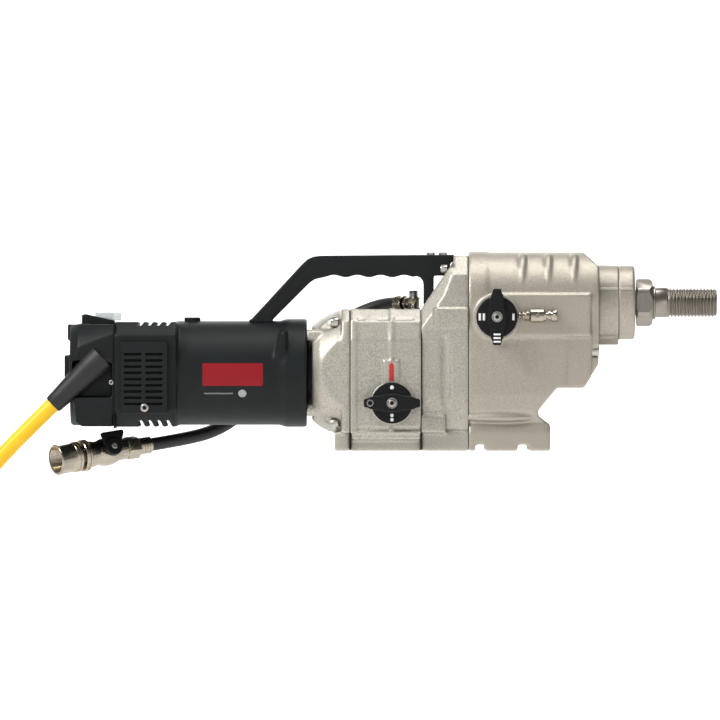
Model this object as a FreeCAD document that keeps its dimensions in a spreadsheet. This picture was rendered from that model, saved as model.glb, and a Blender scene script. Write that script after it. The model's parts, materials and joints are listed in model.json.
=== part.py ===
import FreeCAD, Part
import math
import os
import Sketcher
from FreeCAD import Placement, Rotation, Vector

# Core-drill motor with a two-stage selector gearbox. Millimetres. +X runs from the motor to the drill
# spindle, +Z is up, and the origin is the centre of the foot face that bolts to a rig's carriage.

doc = FreeCAD.newDocument("core_drill_motor")
dims = doc.addObject("Spreadsheet::Sheet", "dims")

DRIVING = {
    # heights of the four shafts above the foot face
    "motor_height": 83.0,
    "layshaft_height": 49.25,
    "middle_height": 100.25,
    "spindle_height": 158.25,
    # stations along X
    "motor_tail": -403.0,
    "cap_seam": -349.5,
    "vent_end": -283.0,
    "collar_start": -167.0,
    "collar_end": -144.5,
    "adapter_start": -139.0,
    "lower_seam": -98.0,
    "centre_seam": -22.5,
    "head_seam": 28.0,
    "head_front": 167.0,
    "nose_seam": 188.5,
    "nose_front": 206.0,
    "foot_rear": -114.5,
    "foot_front": 115.0,
    # motor
    "motor_radius": 55.6,
    "collar_radius": 57.8,
    "stator_radius": 50.0,
    "vent_half_width": 58.0,
    "vent_bottom": 25.5,
    "vent_top": 137.5,
    # castings
    "foot_half_width": 50.0,
    "foot_height": 20.0,
    "case_half_width": 58.0,
    "case_top": 151.0,
    "head_radius": 54.0,
    "lobe_radius": 33.3,
    "key_slot_depth": 6.5,
    # spindle
    "journal_radius": 15.0,
    "thread_radius": 15.875,
    "thread_start": 241.0,
    "spindle_end": 294.0,
    "water_bore": 5.0,
    "hexagon": 49.0,
    # gears
    "first_module": 1.25,
    "lower_module": 1.5,
    "upper_module": 2.0,
    "running_gap": 0.05,
    # handle
    "grip_top": 209.7,
    "grip_bottom": 185.6,
    "grip_width": 27.0,
    # selectors
    "upper_knob_station": 58.0,
    "upper_knob_height": 142.6,
    "lower_knob_station": -53.7,
    "lower_knob_height": 51.0,
    "knob_radius": 22.0,
    "wing_length": 60.0,
    # water line and cord
    "hose_radius": 7.0,
    "cord_radius": 8.25,
    "coil_radius": 95.0,
    "coil_bundle": 25.0,
}

for row, (alias, value) in enumerate(DRIVING.items(), start=1):
    dims.set(f"A{row}", alias)
    dims.set(f"B{row}", str(value))
    dims.setAlias(f"B{row}", alias)
doc.recompute()


def size(alias):
    """The value of a driving dimension, for geometry that is worked out in code."""
    return float(dims.get(alias))


def bind(thing, prop, value):
    """Sets a property to a number, or binds it to an expression on the sheet."""
    if isinstance(value, str):
        thing.setExpression(prop, value)
    elif "." in prop:
        thing.setExpression(prop, repr(float(value)))
    else:
        setattr(thing, prop, value)


def d(alias):
    return f"dims.{alias}"


def place(thing, x, y, z, rotation=None):
    thing.Placement = Placement(Vector(0, 0, 0), rotation or Rotation())
    for axis, value in zip("xyz", (x, y, z)):
        bind(thing, f"Placement.Base.{axis}", value)
    return thing


ALONG_X = Rotation(Vector(0, 1, 0), 90)
ALONG_Y = Rotation(Vector(1, 0, 0), -90)


def cylinder(name, radius, length, x, y, z, along="x"):
    thing = doc.addObject("Part::Cylinder", name)
    thing.Label = name
    bind(thing, "Radius", radius)
    bind(thing, "Height", length)
    return place(thing, x, y, z, {"x": ALONG_X, "y": ALONG_Y, "z": Rotation()}[along])


def box(name, x, y, z, length, width, height):
    thing = doc.addObject("Part::Box", name)
    thing.Label = name
    bind(thing, "Length", length)
    bind(thing, "Width", width)
    bind(thing, "Height", height)
    return place(thing, x, y, z)


def fuse(name, *pieces):
    thing = doc.addObject("Part::MultiFuse", name)
    thing.Label = name
    thing.Shapes = list(pieces)
    return thing


def cut(name, base, *tools):
    thing = doc.addObject("Part::Cut", name)
    thing.Label = name
    thing.Base = base
    thing.Tool = tools[0] if len(tools) == 1 else fuse(f"{name}_tools", *tools)
    return thing


def common(name, *pieces):
    thing = doc.addObject("Part::MultiCommon", name)
    thing.Label = name
    thing.Shapes = list(pieces)
    return thing


def group(name, pieces):
    """Separate solids that share one node, such as a set of screws."""
    thing = doc.addObject("Part::Compound", name)
    thing.Label = name
    thing.Links = list(pieces)
    return thing


def outline_sketch(body, plane, points):
    """A closed polygon on an origin plane, each corner held by two bound distances."""
    sketch = body.newObject("Sketcher::SketchObject", f"{body.Name}_outline")
    origin_plane = [o for o in body.Origin.OriginFeatures if o.Role == plane][0]
    sketch.AttachmentSupport = [(origin_plane, "")]
    sketch.MapMode = "FlatFace"
    value = [[dims_value(c) for c in point] for point in points]
    count = len(points)
    for i in range(count):
        a, b = value[i], value[(i + 1) % count]
        sketch.addGeometry(Part.LineSegment(Vector(a[0], a[1], 0), Vector(b[0], b[1], 0)))
    for i in range(count):
        sketch.addConstraint(Sketcher.Constraint("Coincident", i, 2, (i + 1) % count, 1))
    for i, point in enumerate(points):
        for kind, coordinate, number in zip(("DistanceX", "DistanceY"), point, value[i]):
            if number == 0.0:
                line = -2 if kind == "DistanceX" else -1
                sketch.addConstraint(Sketcher.Constraint("PointOnObject", i, 1, line))
                continue
            index = sketch.addConstraint(Sketcher.Constraint(kind, i, 1, number))
            if isinstance(coordinate, str):
                sketch.setExpression(f"Constraints[{index}]", coordinate)
    return sketch


def dims_value(coordinate):
    """The number that an expression such as 'dims.motor_radius - 2' stands for now."""
    if not isinstance(coordinate, str):
        return float(coordinate)
    return float(dims.evalExpression(coordinate))


def turned(name, height, points, y=0.0):
    """A body turned about an axis along X at the given height: points are (station, radius)."""
    body = doc.addObject("PartDesign::Body", name)
    body.Label = name
    sketch = outline_sketch(body, "XZ_Plane", points)
    revolution = body.newObject("PartDesign::Revolution", f"{name}_turning")
    revolution.Profile = sketch
    revolution.ReferenceAxis = (sketch, ["H_Axis"])
    revolution.Angle = 360.0
    body.Tip = revolution
    sketch.Visibility = False
    return place(body, 0.0, y, height)


def padded(name, plane, points, thickness, x=0.0, y=0.0, z=0.0):
    """A body padded symmetrically from an outline on an origin plane."""
    body = doc.addObject("PartDesign::Body", name)
    body.Label = name
    sketch = outline_sketch(body, plane, points)
    pad = body.newObject("PartDesign::Pad", f"{name}_pad")
    pad.Profile = sketch
    bind(pad, "Length", thickness)
    pad.Midplane = True
    body.Tip = pad
    return place(body, x, y, z)


def ring(name, height, start, end, inner, outer, y=0.0):
    return turned(name, height, [(start, inner), (start, outer), (end, outer), (end, inner)], y)


def coded(name, shape, placement=None):
    """A sub-part whose shape is worked out in code from the sheet's values."""
    thing = doc.addObject("Part::Feature", name)
    thing.Label = name
    thing.Shape = shape
    thing.Placement = placement or Placement()
    return thing


# ---------------------------------------------------------------- gears

PRESSURE_ANGLE = math.radians(25)
ADDENDUM = 0.8
DEDENDUM = 1.1
THINNING = 0.07


def involute_angle(base, radius):
    """How far an involute has turned when it reaches a radius."""
    roll = math.sqrt(max((radius / base) ** 2 - 1, 0.0))
    return roll - math.atan(roll)


def gear(teeth, module, start, width, phase_degrees, height):
    """A spur gear, stub teeth, one tooth's middle at the phase angle from +Y towards +Z."""
    pitch = teeth * module / 2
    base = pitch * math.cos(PRESSURE_ANGLE)
    tip = pitch + ADDENDUM * module
    root = pitch - DEDENDUM * module
    first = max(base, root + 0.05)
    half = math.pi / (2 * teeth) - THINNING / pitch + involute_angle(base, pitch)

    def at(radius, angle):
        return Vector(start, radius * math.cos(angle), radius * math.sin(angle))

    edges = []
    flank_steps = 4
    for tooth in range(teeth):
        middle = math.radians(phase_degrees) + 2 * math.pi * tooth / teeth
        radii = [first + (tip - first) * i / (flank_steps - 1) for i in range(flank_steps)]
        rising = [at(r, middle - half + involute_angle(base, r)) for r in radii]
        falling = [at(r, middle + half - involute_angle(base, r)) for r in reversed(radii)]
        for flank in (rising, falling):
            if flank is falling:
                edges.append(Part.Arc(rising[-1], at(tip, middle), falling[0]).toShape())
            curve = Part.BSplineCurve()
            curve.interpolate(flank)
            edges.append(curve.toShape())
        foot = half - involute_angle(base, first)
        left = middle + foot
        right = middle + 2 * math.pi / teeth - foot
        edges.append(Part.LineSegment(falling[-1], at(root, left)).toShape())
        edges.append(Part.Arc(at(root, left), at(root, (left + right) / 2), at(root, right)).toShape())
        edges.append(Part.LineSegment(at(root, right), at(first, right)).toShape())
    solid = Part.Face(Part.Wire(edges)).extrude(Vector(width, 0, 0))
    solid.translate(Vector(0, 0, height))
    return solid


def rod(start, end, radius, height, inner=0.0):
    solid = Part.makeCylinder(radius, end - start, Vector(start, 0, height), Vector(1, 0, 0))
    if inner:
        solid = solid.cut(Part.makeCylinder(inner, end - start, Vector(start, 0, height), Vector(1, 0, 0)))
    return solid


def joined(pieces):
    return pieces[0].fuse(pieces[1:]).removeSplitter()


# ---------------------------------------------------------------- castings

def foot_block(name, start, length):
    return box(name, start, "-dims.foot_half_width", 0.0, length, "2 * dims.foot_half_width", d("foot_height"))


adapter_bell = turned("adapter_bell", d("motor_height"), [
    (d("adapter_start"), 0.0), (d("adapter_start"), 50.5), ("dims.adapter_start + 8.5", 57.7),
    ("dims.adapter_start + 17", 62.0), ("dims.adapter_start + 26", 66.3), (d("lower_seam"), 68.0),
    (d("lower_seam"), 0.0)])
adapter_limit = box("adapter_limit", d("adapter_start"), "-dims.case_half_width", d("foot_height"),
                    "dims.lower_seam - dims.adapter_start", "2 * dims.case_half_width", 140.0)
adapter_outer = fuse(
    "adapter_outer", common("adapter_bell_trimmed", adapter_bell, adapter_limit),
    foot_block("adapter_foot", d("foot_rear"), "dims.lower_seam - dims.foot_rear"),
    *[cylinder(f"adapter_post_{i}", 6.5, 16.0, d("collar_end"), y, z)
      for i, (y, z) in enumerate(((-36, 123), (36, 123), (-36, 43), (36, 43)))])
BOLT_PLACES = ((-38, 137), (38, 137), (-38, 29), (38, 29))
adapter_casting = cut(
    "adapter_casting", adapter_outer,
    cylinder("spigot_recess", 40.0, 10.0, "dims.adapter_start - 1", 0.0, d("motor_height")),
    cylinder("armature_passage", 12.0, 60.0, -150.0, 0.0, d("motor_height")),
    cylinder("armature_seat", 17.5, 15.0, "dims.lower_seam - 14", 0.0, d("motor_height")),
    cylinder("layshaft_seat", 13.0, 9.0, "dims.lower_seam - 8", 0.0, d("layshaft_height")),
    *[cylinder(f"bolt_scoop_{i}", 8.5, 28.0, d("adapter_start"), y, z) for i, (y, z) in enumerate(BOLT_PLACES)])

FLANGE_SCREWS = ((-31, 194), (31, 194))
FRONT_SCREWS = ((-37, 107), (37, 107))
FOOT_HOLES = {"rear": -77.0, "front": 103.0}
FOOT_HOLE_RADIUS, FOOT_HOLE_DEPTH, FOOT_HOLE_OFFSET = 4.25, 16.0, 32.0


def foot_holes(end):
    return [cylinder(f"foot_hole_{end}_{i}", FOOT_HOLE_RADIUS, FOOT_HOLE_DEPTH + 1, FOOT_HOLES[end], y, -1.0, "z")
            for i, y in enumerate((-FOOT_HOLE_OFFSET, FOOT_HOLE_OFFSET))]


lower_outline = padded("lower_outline", "YZ_Plane", [
    (-50, 20), (-58, 26), (-58, 118), (-50, 138), (-34, 151), (34, 151), (50, 138), (58, 118), (58, 26), (50, 20)],
    "dims.centre_seam - dims.lower_seam", x="(dims.lower_seam + dims.centre_seam) / 2")
lower_case = cut(
    "lower_case",
    fuse("lower_outer", lower_outline,
         foot_block("lower_foot", d("lower_seam"), "dims.centre_seam - dims.lower_seam"),
         box("pointer_pad", -62.4, -60.0, 70.0, 16.0, 4.0, 26.0)),
    box("lower_cavity_rear", d("lower_seam"), -49.0, 10.0, 16.0, 98.0, 132.0),
    box("lower_cavity_front", -72.0, -49.0, 10.0, 42.0, 98.0, 132.0),
    cylinder("layshaft_way", 10.0, 20.0, -84.0, 0.0, d("layshaft_height")),
    cylinder("middle_rear_seat", 13.0, 12.0, -83.0, 0.0, d("middle_height")),
    cylinder("layshaft_front_seat", 13.0, 9.0, -31.0, 0.0, d("layshaft_height")),
    cylinder("middle_way", 14.0, 12.0, -33.0, 0.0, d("middle_height")),
    cylinder("lower_selector_way", "5 + dims.running_gap", 20.0, d("lower_knob_station"), -64.0,
             d("lower_knob_height"), "y"),
    *foot_holes("rear"))

centre_side = padded("centre_side", "XZ_Plane", [
    (-22.5, 20), (-22.5, 151), (12, 202), (12, 208.5), (28, 208.5), (28, 20)], 120.0)
centre_section = padded("centre_section", "YZ_Plane", [
    (-46, 20), (-50, 30), (-54, 60), (-54, 165), (-47, 188), (-24, 208.5), (24, 208.5), (47, 188),
    (54, 165), (54, 60), (50, 30), (46, 20)], 52.0, x=2.0)
centre_case = cut(
    "centre_case",
    fuse("centre_outer", common("centre_trimmed", centre_side, centre_section),
         foot_block("centre_foot", d("centre_seam"), "dims.head_seam - dims.centre_seam"),
         box("case_step", d("centre_seam"), -58.0, d("foot_height"), 26.0, 116.0, 18.0),
         box("plate_pad", -9.0, -57.0, 133.0, 37.0, 114.0, 19.0)),
    box("centre_cavity", -14.0, -40.0, 12.0, 42.0, 80.0, 60.0),
    cylinder("middle_centre_way", 14.0, 60.0, -25.0, 0.0, d("middle_height")),
    cylinder("spindle_rear_seat", 26.0, 16.0, 13.0, 0.0, d("spindle_height")),
    cylinder("water_chamber", 13.0, 24.0, -8.0, 0.0, d("spindle_height")),
    cylinder("flank_channel_front", 7.0, 84.0, 2.0, -59.0, 38.0, "z"),
    cylinder("flank_channel_back", 7.0, 84.0, 2.0, 59.0, 38.0, "z"),
    *[cylinder(f"flange_scoop_{i}", 6.6, 42.0, -30.0, y, z) for i, (y, z) in enumerate(FLANGE_SCREWS)])

head_side = padded("head_side", "XZ_Plane", [
    (28, 0), (115, 0), (115, 28), (102.7, 37), (101.7, 42.3), (122, 67), (151, 67), (167, 92.6),
    (167, 196.3), (151, 212.25), (28, 212.25)], 130.0)
head_barrel = cylinder("head_barrel", d("head_radius"), "dims.head_front - dims.head_seam",
                       d("head_seam"), 0.0, d("spindle_height"))
head_lobe = cylinder("head_lobe", d("lobe_radius"), "dims.head_front - dims.head_seam",
                     d("head_seam"), 0.0, d("middle_height"))
head_flank = padded("head_flank", "YZ_Plane", [
    (-54, 158.25), (-50, 112), (-33.3, 98), (33.3, 98), (50, 112), (54, 158.25)],
    "dims.head_front - dims.head_seam", x="(dims.head_seam + dims.head_front) / 2")
head_skirt = padded("head_skirt", "YZ_Plane", [
    (-46, 30), (-52, 44), (-54, 60), (-54, 158.25), (54, 158.25), (54, 60), (52, 44), (46, 30),
    (50, 20), (50, 0), (-50, 0), (-50, 20)], 104.0, x=80.0)
head_solid = common(
    "head_solid", head_side,
    fuse("head_section", head_barrel, head_lobe, head_flank, head_skirt,
         box("head_pad", 60.0, -57.0, 122.0, 98.0, 60.0, 45.0),
         box("head_cheeks", 118.0, -53.0, 60.0, 41.0, 106.0, 66.0),
         cylinder("head_pad_end", 24.0, 30.0, d("upper_knob_station"), -57.5, d("upper_knob_height"), "y")))
head_case = cut(
    "head_case", head_solid,
    cylinder("gear_cavity", 48.0, 114.0, d("head_seam"), 0.0, d("spindle_height")),
    cylinder("pinion_cavity", 28.5, 118.0, d("head_seam"), 0.0, d("middle_height")),
    box("cavity_between", d("head_seam"), -28.5, 100.0, 114.0, 57.0, 40.0),
    box("sump", d("head_seam"), -40.0, 12.0, 64.0, 80.0, 52.0),
    cylinder("spindle_front_seat", 31.0, 17.0, 141.0, 0.0, d("spindle_height")),
    cylinder("spindle_way", 24.0, 30.0, 150.0, 0.0, d("spindle_height")),
    cylinder("middle_front_seat", 13.0, 9.0, 145.0, 0.0, d("middle_height")),
    cylinder("upper_selector_way", "5 + dims.running_gap", 20.0, d("upper_knob_station"), -60.0,
             d("upper_knob_height"), "y"),
    box("key_slot_rear", 35.3, -60.0, -1.0, 10.0, 120.0, "dims.key_slot_depth + 1"),
    box("key_slot_front", 80.3, -60.0, -1.0, 11.0, 120.0, "dims.key_slot_depth + 1"),
    *[cylinder(f"front_scoop_{i}", 8.0, 10.0, "dims.head_front - 8.5", y, z)
      for i, (y, z) in enumerate(FRONT_SCREWS)],
    *foot_holes("front"))

nose_casting = fuse(
    "nose_casting",
    turned("nose_round", d("spindle_height"), [
        (d("head_front"), 24.0), (d("head_front"), 40.4), (d("nose_seam"), 39.6), (d("nose_seam"), 24.0)]),
    box("nose_sole", d("head_front"), -16.0, 113.0, "dims.nose_seam - dims.head_front", 32.0, 10.0))
seal_cap = turned("seal_cap", d("spindle_height"), [
    (d("nose_seam"), 24.0), (d("nose_seam"), 39.6), ("dims.nose_front - 2", 39.6), (d("nose_front"), 37.5),
    (d("nose_front"), 17.0), (201.0, 17.0), (201.0, 24.0)])

# ---------------------------------------------------------------- motor

vent_section = common(
    "vent_section",
    box("vent_block", d("cap_seam"), "-dims.vent_half_width", d("vent_bottom"), "dims.vent_end - dims.cap_seam",
        "2 * dims.vent_half_width", "dims.vent_top - dims.vent_bottom"),
    cylinder("vent_round", 70.0, 80.0, "dims.cap_seam - 5", 0.0, d("motor_height")))
motor_barrel = turned("motor_barrel", d("motor_height"), [
    (-350, 0.0), (-350, 40.0), (d("vent_end"), d("motor_radius")), ("dims.collar_start - 6", d("motor_radius")),
    (d("collar_start"), d("collar_radius")), (d("collar_end"), d("collar_radius")), (d("collar_end"), 40.0),
    (-130.0, 40.0), (-130.0, 0.0)])
motor_housing = cut(
    "motor_housing", fuse("motor_outer", vent_section, motor_barrel),
    turned("motor_hollow", d("motor_height"), [
        (-352, 0.0), (-352, 48.0), (-300, 48.0), (-300, d("stator_radius")), (-168, d("stator_radius")),
        (-158, 34.0), (-129, 34.0), (-129, 0.0)]))

cap_outer = fuse(
    "cap_outer",
    common("cap_block_trimmed",
           box("cap_block", -397.0, -56.0, 27.0, "dims.cap_seam + 397", 112.0, 108.0),
           turned("cap_round", d("motor_height"), [
               (-397, 0.0), (-397, 54.0), (-388, 62.0), (d("cap_seam"), 70.0), (d("cap_seam"), 0.0)])),
    box("cap_tail_block", d("motor_tail"), -34.0, 70.0, 10.0, 68.0, 32.0),
    box("cap_hook", -400.0, -18.0, 118.0, 24.0, 36.0, 17.0))
motor_rear_cap = cut(
    "motor_rear_cap", cap_outer,
    turned("cap_hollow", d("motor_height"), [
        (-390, 0.0), (-390, 15.0), (-381, 15.0), (-381, 36.0), (-349, 36.0), (-349, 0.0)]),
    box("cord_recess", -394.0, -70.0, 56.0, 42.0, 27.0, 40.0))


def slotted_cover(name, side):
    plate_y = "-dims.vent_half_width - 5" if side < 0 else "dims.vent_half_width"
    plate = box(f"{name}_plate", -342.4, plate_y, 40.0, 50.0, 5.0, 76.0)
    slots = [box(f"{name}_slot_{row}_{column}", x, side * 61.0 - 5.0, 101.5 - 6.6 * row, length, 10.0, 2.7)
             for row in range(9) for column, (x, length) in enumerate(((-338.6, 18.6), (-316.0, 18.4)))]
    return cut(name, plate, *slots)


side_vent_covers = group("side_vent_covers", [slotted_cover("cover_front", -1), slotted_cover("cover_back", 1)])
vent_screws = [
    cylinder("cover_screw_front", 4.2, 2.2, -317.0, "-dims.vent_half_width - 7.2", 46.0, "y"),
    cylinder("cover_screw_back", 4.2, 2.2, -317.0, "dims.vent_half_width + 5", 46.0, "y")]
brush_access_cap = cylinder("brush_access_cap", 8.6, 5.0, -267.0, 0.0, "dims.motor_height + dims.motor_radius", "z")

SHAFT_RADIUS = 7.5
pinion_phase = -90.0
armature_shaft = coded("armature_shaft", joined([
    rod(-390, -112, SHAFT_RADIUS, size("motor_height")),
    rod(-112.1, -97, 6.0, size("motor_height")),
    gear(10, size("first_module"), -97.0, 13.0, pinion_phase, size("motor_height"))]))
armature_core = ring("armature_core", d("motor_height"), -292.0, -216.0, SHAFT_RADIUS, 27.0)
commutator = ring("commutator", d("motor_height"), -334.0, -312.0, SHAFT_RADIUS, 17.0)
field_stator = ring("field_stator", d("motor_height"), -296.0, -212.0, 27.8, d("stator_radius"))
FAN_BLADES = 11
fan_hub = ring("fan_hub", d("motor_height"), -196.0, -192.0, SHAFT_RADIUS, 44.0)
fan_blades = [box(f"fan_blade_{i}", -192.0, 0.0, 0.0, 14.0, 25.0, 2.0) for i in range(FAN_BLADES)]
for i, blade in enumerate(fan_blades):
    turn = Rotation(Vector(1, 0, 0), 360.0 * i / FAN_BLADES)
    spot = turn.multVec(Vector(-192.0, 18.0, 0.0))
    blade.Placement = Placement(Vector(spot.x, spot.y, spot.z), turn)
    for axis, value in zip("xyz", (spot.x, spot.y, f"dims.motor_height + {spot.z:.4f}")):
        bind(blade, f"Placement.Base.{axis}", value)
cooling_fan = fuse("cooling_fan", fan_hub, *fan_blades)
armature_bearings = group("armature_bearings", [
    ring("armature_rear_bearing", d("motor_height"), -390.0, -381.0, SHAFT_RADIUS + 0.05, 15.0),
    ring("armature_front_bearing", d("motor_height"), -112.0, -101.0, 6.05, 17.5)])
brush_holders = group("brush_holders", [
    cut(f"brush_holder_{i}", box(f"brush_shell_{i}", -330.0, y, "dims.motor_height - 7", 14.0, 24.0, 14.0),
        box(f"brush_window_{i}", -327.0, y - 1.0, "dims.motor_height - 4", 8.0, 26.0, 8.0))
    for i, y in enumerate((-44.0, 20.0))])
carbon_brushes = group("carbon_brushes", [
    box(f"carbon_brush_{i}", -327.0, y, "dims.motor_height - 4", 8.0, 22.0, 8.0)
    for i, y in enumerate((-39.6, 17.6))])


switch_guard = cut(
    "switch_guard",
    padded("switch_wedge", "XZ_Plane", [(-385, 135), (-385, 145), (-381, 146), (-350, 139), (-350, 135)], 30.0),
    box("switch_channel", -381.0, -11.0, 135.6, 40.0, 22.0, 14.0))
switch_splash_cover = cut(
    "switch_splash_cover",
    fuse("splash_outer", box("splash_tall", -371.0, -10.5, 135.6, 20.8, 21.0, 12.4),
         box("splash_nose", -352.0, -10.5, 139.2, 9.0, 21.0, 8.8)),
    box("splash_room", -369.8, -9.3, 135.0, 18.4, 18.6, 11.8))
switch_rocker = fuse(
    "switch_rocker", box("rocker_pad", -368.0, -7.0, 139.2, 15.0, 14.0, 3.0),
    cylinder("rocker_pivot", 2.4, 14.0, -360.5, -7.0, 139.0, "y"))

# ---------------------------------------------------------------- gear train

FIRST_WHEEL, FIRST_PINION = 44, 10
SLOW_PINION, SLOW_WHEEL = 19, 49
QUICK_PINION, QUICK_WHEEL = 28, 40
UPPER_PINIONS = (14, 19, 25)
UPPER_WHEELS = (44, 39, 33)
UPPER_PINION_STATIONS = (100.0, 84.0, 57.0)
UPPER_WHEEL_STATIONS = (100.0, 73.0, 35.0)
GEAR_WIDTH = 10.0
lay, middle, high = size("layshaft_height"), size("middle_height"), size("spindle_height")

layshaft = coded("layshaft", joined([
    rod(-106, -97.9, 5.0, lay), rod(-98, -31, 8.0, lay), rod(-31.1, -23, 5.0, lay),
    gear(FIRST_WHEEL, size("first_module"), -96.0, GEAR_WIDTH, 90 + 180 / FIRST_WHEEL, lay),
    gear(SLOW_PINION, size("lower_module"), -70.0, GEAR_WIDTH, 90, lay),
    gear(QUICK_PINION, size("lower_module"), -40.5, GEAR_WIDTH - 1, 90, lay)]))
layshaft_bearings = group("layshaft_bearings", [
    ring("layshaft_rear_bearing", d("layshaft_height"), -106.0, -98.0, 5.05, 13.0),
    ring("layshaft_front_bearing", d("layshaft_height"), -30.0, -22.5, 5.05, 13.0)])
intermediate_shaft = coded("intermediate_shaft", joined(
    [rod(-82.5, -72, 6.0, middle), rod(-72.1, 146, 9.0, middle), rod(145.9, 153.5, 6.0, middle)]
    + [gear(teeth, size("upper_module"), station, GEAR_WIDTH, 90, middle)
       for teeth, station in zip(UPPER_PINIONS, UPPER_PINION_STATIONS)]))
low_speed_gears = coded("low_speed_gears", joined([
    gear(SLOW_WHEEL, size("lower_module"), -70.0, GEAR_WIDTH, -90 + 180 / SLOW_WHEEL, middle),
    rod(-60.1, -53.4, 20.0, middle),
    gear(QUICK_WHEEL, size("lower_module"), -53.5, GEAR_WIDTH, -90, middle),
]).cut(rod(-71, -40, 9.0, middle)))
intermediate_bearings = group("intermediate_bearings", [
    ring("intermediate_rear_bearing", d("middle_height"), -82.0, -74.0, 6.05, 13.0),
    ring("intermediate_front_bearing", d("middle_height"), 146.2, 153.8, 6.05, 13.0)])

hexagon_prism = doc.addObject("Part::Prism", "hexagon_prism")
hexagon_prism.Polygon = 6
bind(hexagon_prism, "Circumradius", "(dims.hexagon - 3) / sqrt(3)")
hexagon_prism.Height = 17.6
place(hexagon_prism, 207.6, 0.0, d("spindle_height"), Rotation(Vector(0, 1, 0), 90))
spindle_hexagon = common(
    "spindle_hexagon", hexagon_prism,
    turned("hexagon_limit", d("spindle_height"), [
        (207.6, 0.0), (207.6, 24.0), (209.0, 25.4), (223.8, 25.4), (225.2, 24.0), (225.2, 0.0)]))
spindle_turning = turned("spindle_turning_body", d("spindle_height"), [
    (0.0, 0.0), (0, 8.0), (11, 8.0), (11, 12.5), (26, 12.5), (26, d("journal_radius")),
    (225.2, d("journal_radius")), (225.2, 18.0), (228.2, 18.0), (228.2, 15.4),
    (d("thread_start"), 15.4), (d("thread_start"), d("thread_radius")),
    ("dims.spindle_end - 1.5", d("thread_radius")), (d("spindle_end"), 14.4), (d("spindle_end"), 0.0)])
spindle = cut("spindle", fuse("spindle_outer", spindle_turning, spindle_hexagon),
              cylinder("spindle_water_way", d("water_bore"), 300.0, -2.0, 0.0, d("spindle_height")))
spindle_gears = coded("spindle_gears", joined(
    [gear(teeth, size("upper_module"), station, GEAR_WIDTH, -90 + 180 / teeth, high)
     for teeth, station in zip(UPPER_WHEELS, UPPER_WHEEL_STATIONS)]
    + [rod(44.9, 73.1, 22.0, high), rod(82.9, 100.1, 22.0, high), rod(86, 88.3, 28.0, high),
       rod(94.2, 96.5, 28.0, high)]).cut(rod(30, 120, size("journal_radius"), high)))
spindle_bearings = group("spindle_bearings", [
    ring("spindle_rear_bearing", d("spindle_height"), 13.0, 25.0, 12.55, 26.0),
    ring("spindle_front_bearing", d("spindle_height"), 142.0, 158.0, 15.05, 31.0)])
spindle_seal = ring("spindle_seal", d("spindle_height"), 192.0, 200.0, 15.05, 24.0)
water_seals = ring("water_seals", d("spindle_height"), 2.0, 9.0, 8.05, 13.0)

# ---------------------------------------------------------------- selectors

KNOB_BACK = -60.2
KNOB_FACE = -69.5
WING_FACE = -78.5


def selector_knob(name, station, height, upright):
    disc = cylinder(f"{name}_disc", d("knob_radius"), KNOB_BACK - KNOB_FACE, station, KNOB_FACE, height, "y")
    half = "dims.wing_length / 2"
    if upright:
        corner = (f"{station} - 7", WING_FACE, f"{height} - {half}")
        extent = (14.0, KNOB_FACE - WING_FACE, d("wing_length"))
    else:
        corner = (f"{station} - {half}", WING_FACE, f"{height} - 7")
        extent = (d("wing_length"), KNOB_FACE - WING_FACE, 14.0)
    wing = box(f"{name}_wing", *corner, *extent)
    return cut(name, fuse(f"{name}_outer", disc, wing),
               cylinder(f"{name}_socket", 5.0, 20.0, station, -75.0, height, "y"))


def selector_shaft(name, station, height, inner, disc_radius, throw, throw_x, throw_z):
    pin_x = f"{station} + {throw_x * throw}"
    pin_z = f"{height} + {throw_z * throw}"
    return fuse(name,
                cylinder(f"{name}_rod", 5.0, 75.0 + inner, station, -75.0, height, "y"),
                cylinder(f"{name}_crank", disc_radius, 3.0, station, inner, height, "y"),
                cylinder(f"{name}_pin", 2.0, 4.0, pin_x, inner + 3.0, pin_z, "y"))


upper_selector_knob = selector_knob("upper_selector_knob", d("upper_knob_station"), d("upper_knob_height"), True)
upper_selector_shaft = selector_shaft("upper_selector_shaft", d("upper_knob_station"), d("upper_knob_height"),
                                      -39.0, 10.0, 7.5, -1, 0)
upper_selector_screw = cylinder("upper_selector_screw", 4.4, 1.4, d("upper_knob_station"), WING_FACE - 1.4,
                                d("upper_knob_height"), "y")
lower_selector_knob = selector_knob("lower_selector_knob", d("lower_knob_station"), d("lower_knob_height"), False)
lower_selector_shaft = selector_shaft("lower_selector_shaft", d("lower_knob_station"), d("lower_knob_height"),
                                      -45.0, 8.5, 6.0, -1, 0)
lower_selector_screw = cylinder("lower_selector_screw", 4.4, 1.4, d("lower_knob_station"), WING_FACE - 1.4,
                                d("lower_knob_height"), "y")
upper_shift_fork = common(
    "upper_shift_fork",
    cut("upper_fork_cut",
        fuse("upper_fork_plate", cylinder("upper_fork_ring", 27.0, 4.4, 89.2, 0.0, d("spindle_height")),
             box("upper_fork_arm", 89.2, -47.0, 170.5, 4.4, 25.0, 9.0)),
        cylinder("upper_fork_eye", 22.5, 6.0, 88.5, 0.0, d("spindle_height")),
        cylinder("upper_rail_eye", 3.0, 6.0, 88.5, -41.2, 175.3)),
    cylinder("upper_fork_limit", 47.4, 6.0, 88.5, 0.0, d("spindle_height")))
lower_shift_fork = cut(
    "lower_shift_fork",
    fuse("lower_fork_plate", cylinder("lower_fork_ring", 27.0, 5.0, -59.3, 0.0, d("middle_height")),
         box("lower_fork_arm", -59.3, -48.0, 105.0, 5.0, 25.0, 10.0)),
    cylinder("lower_fork_eye", 20.5, 7.0, -60.3, 0.0, d("middle_height")),
    cylinder("lower_rail_eye", 3.0, 7.0, -60.3, -44.0, 110.0))
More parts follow.
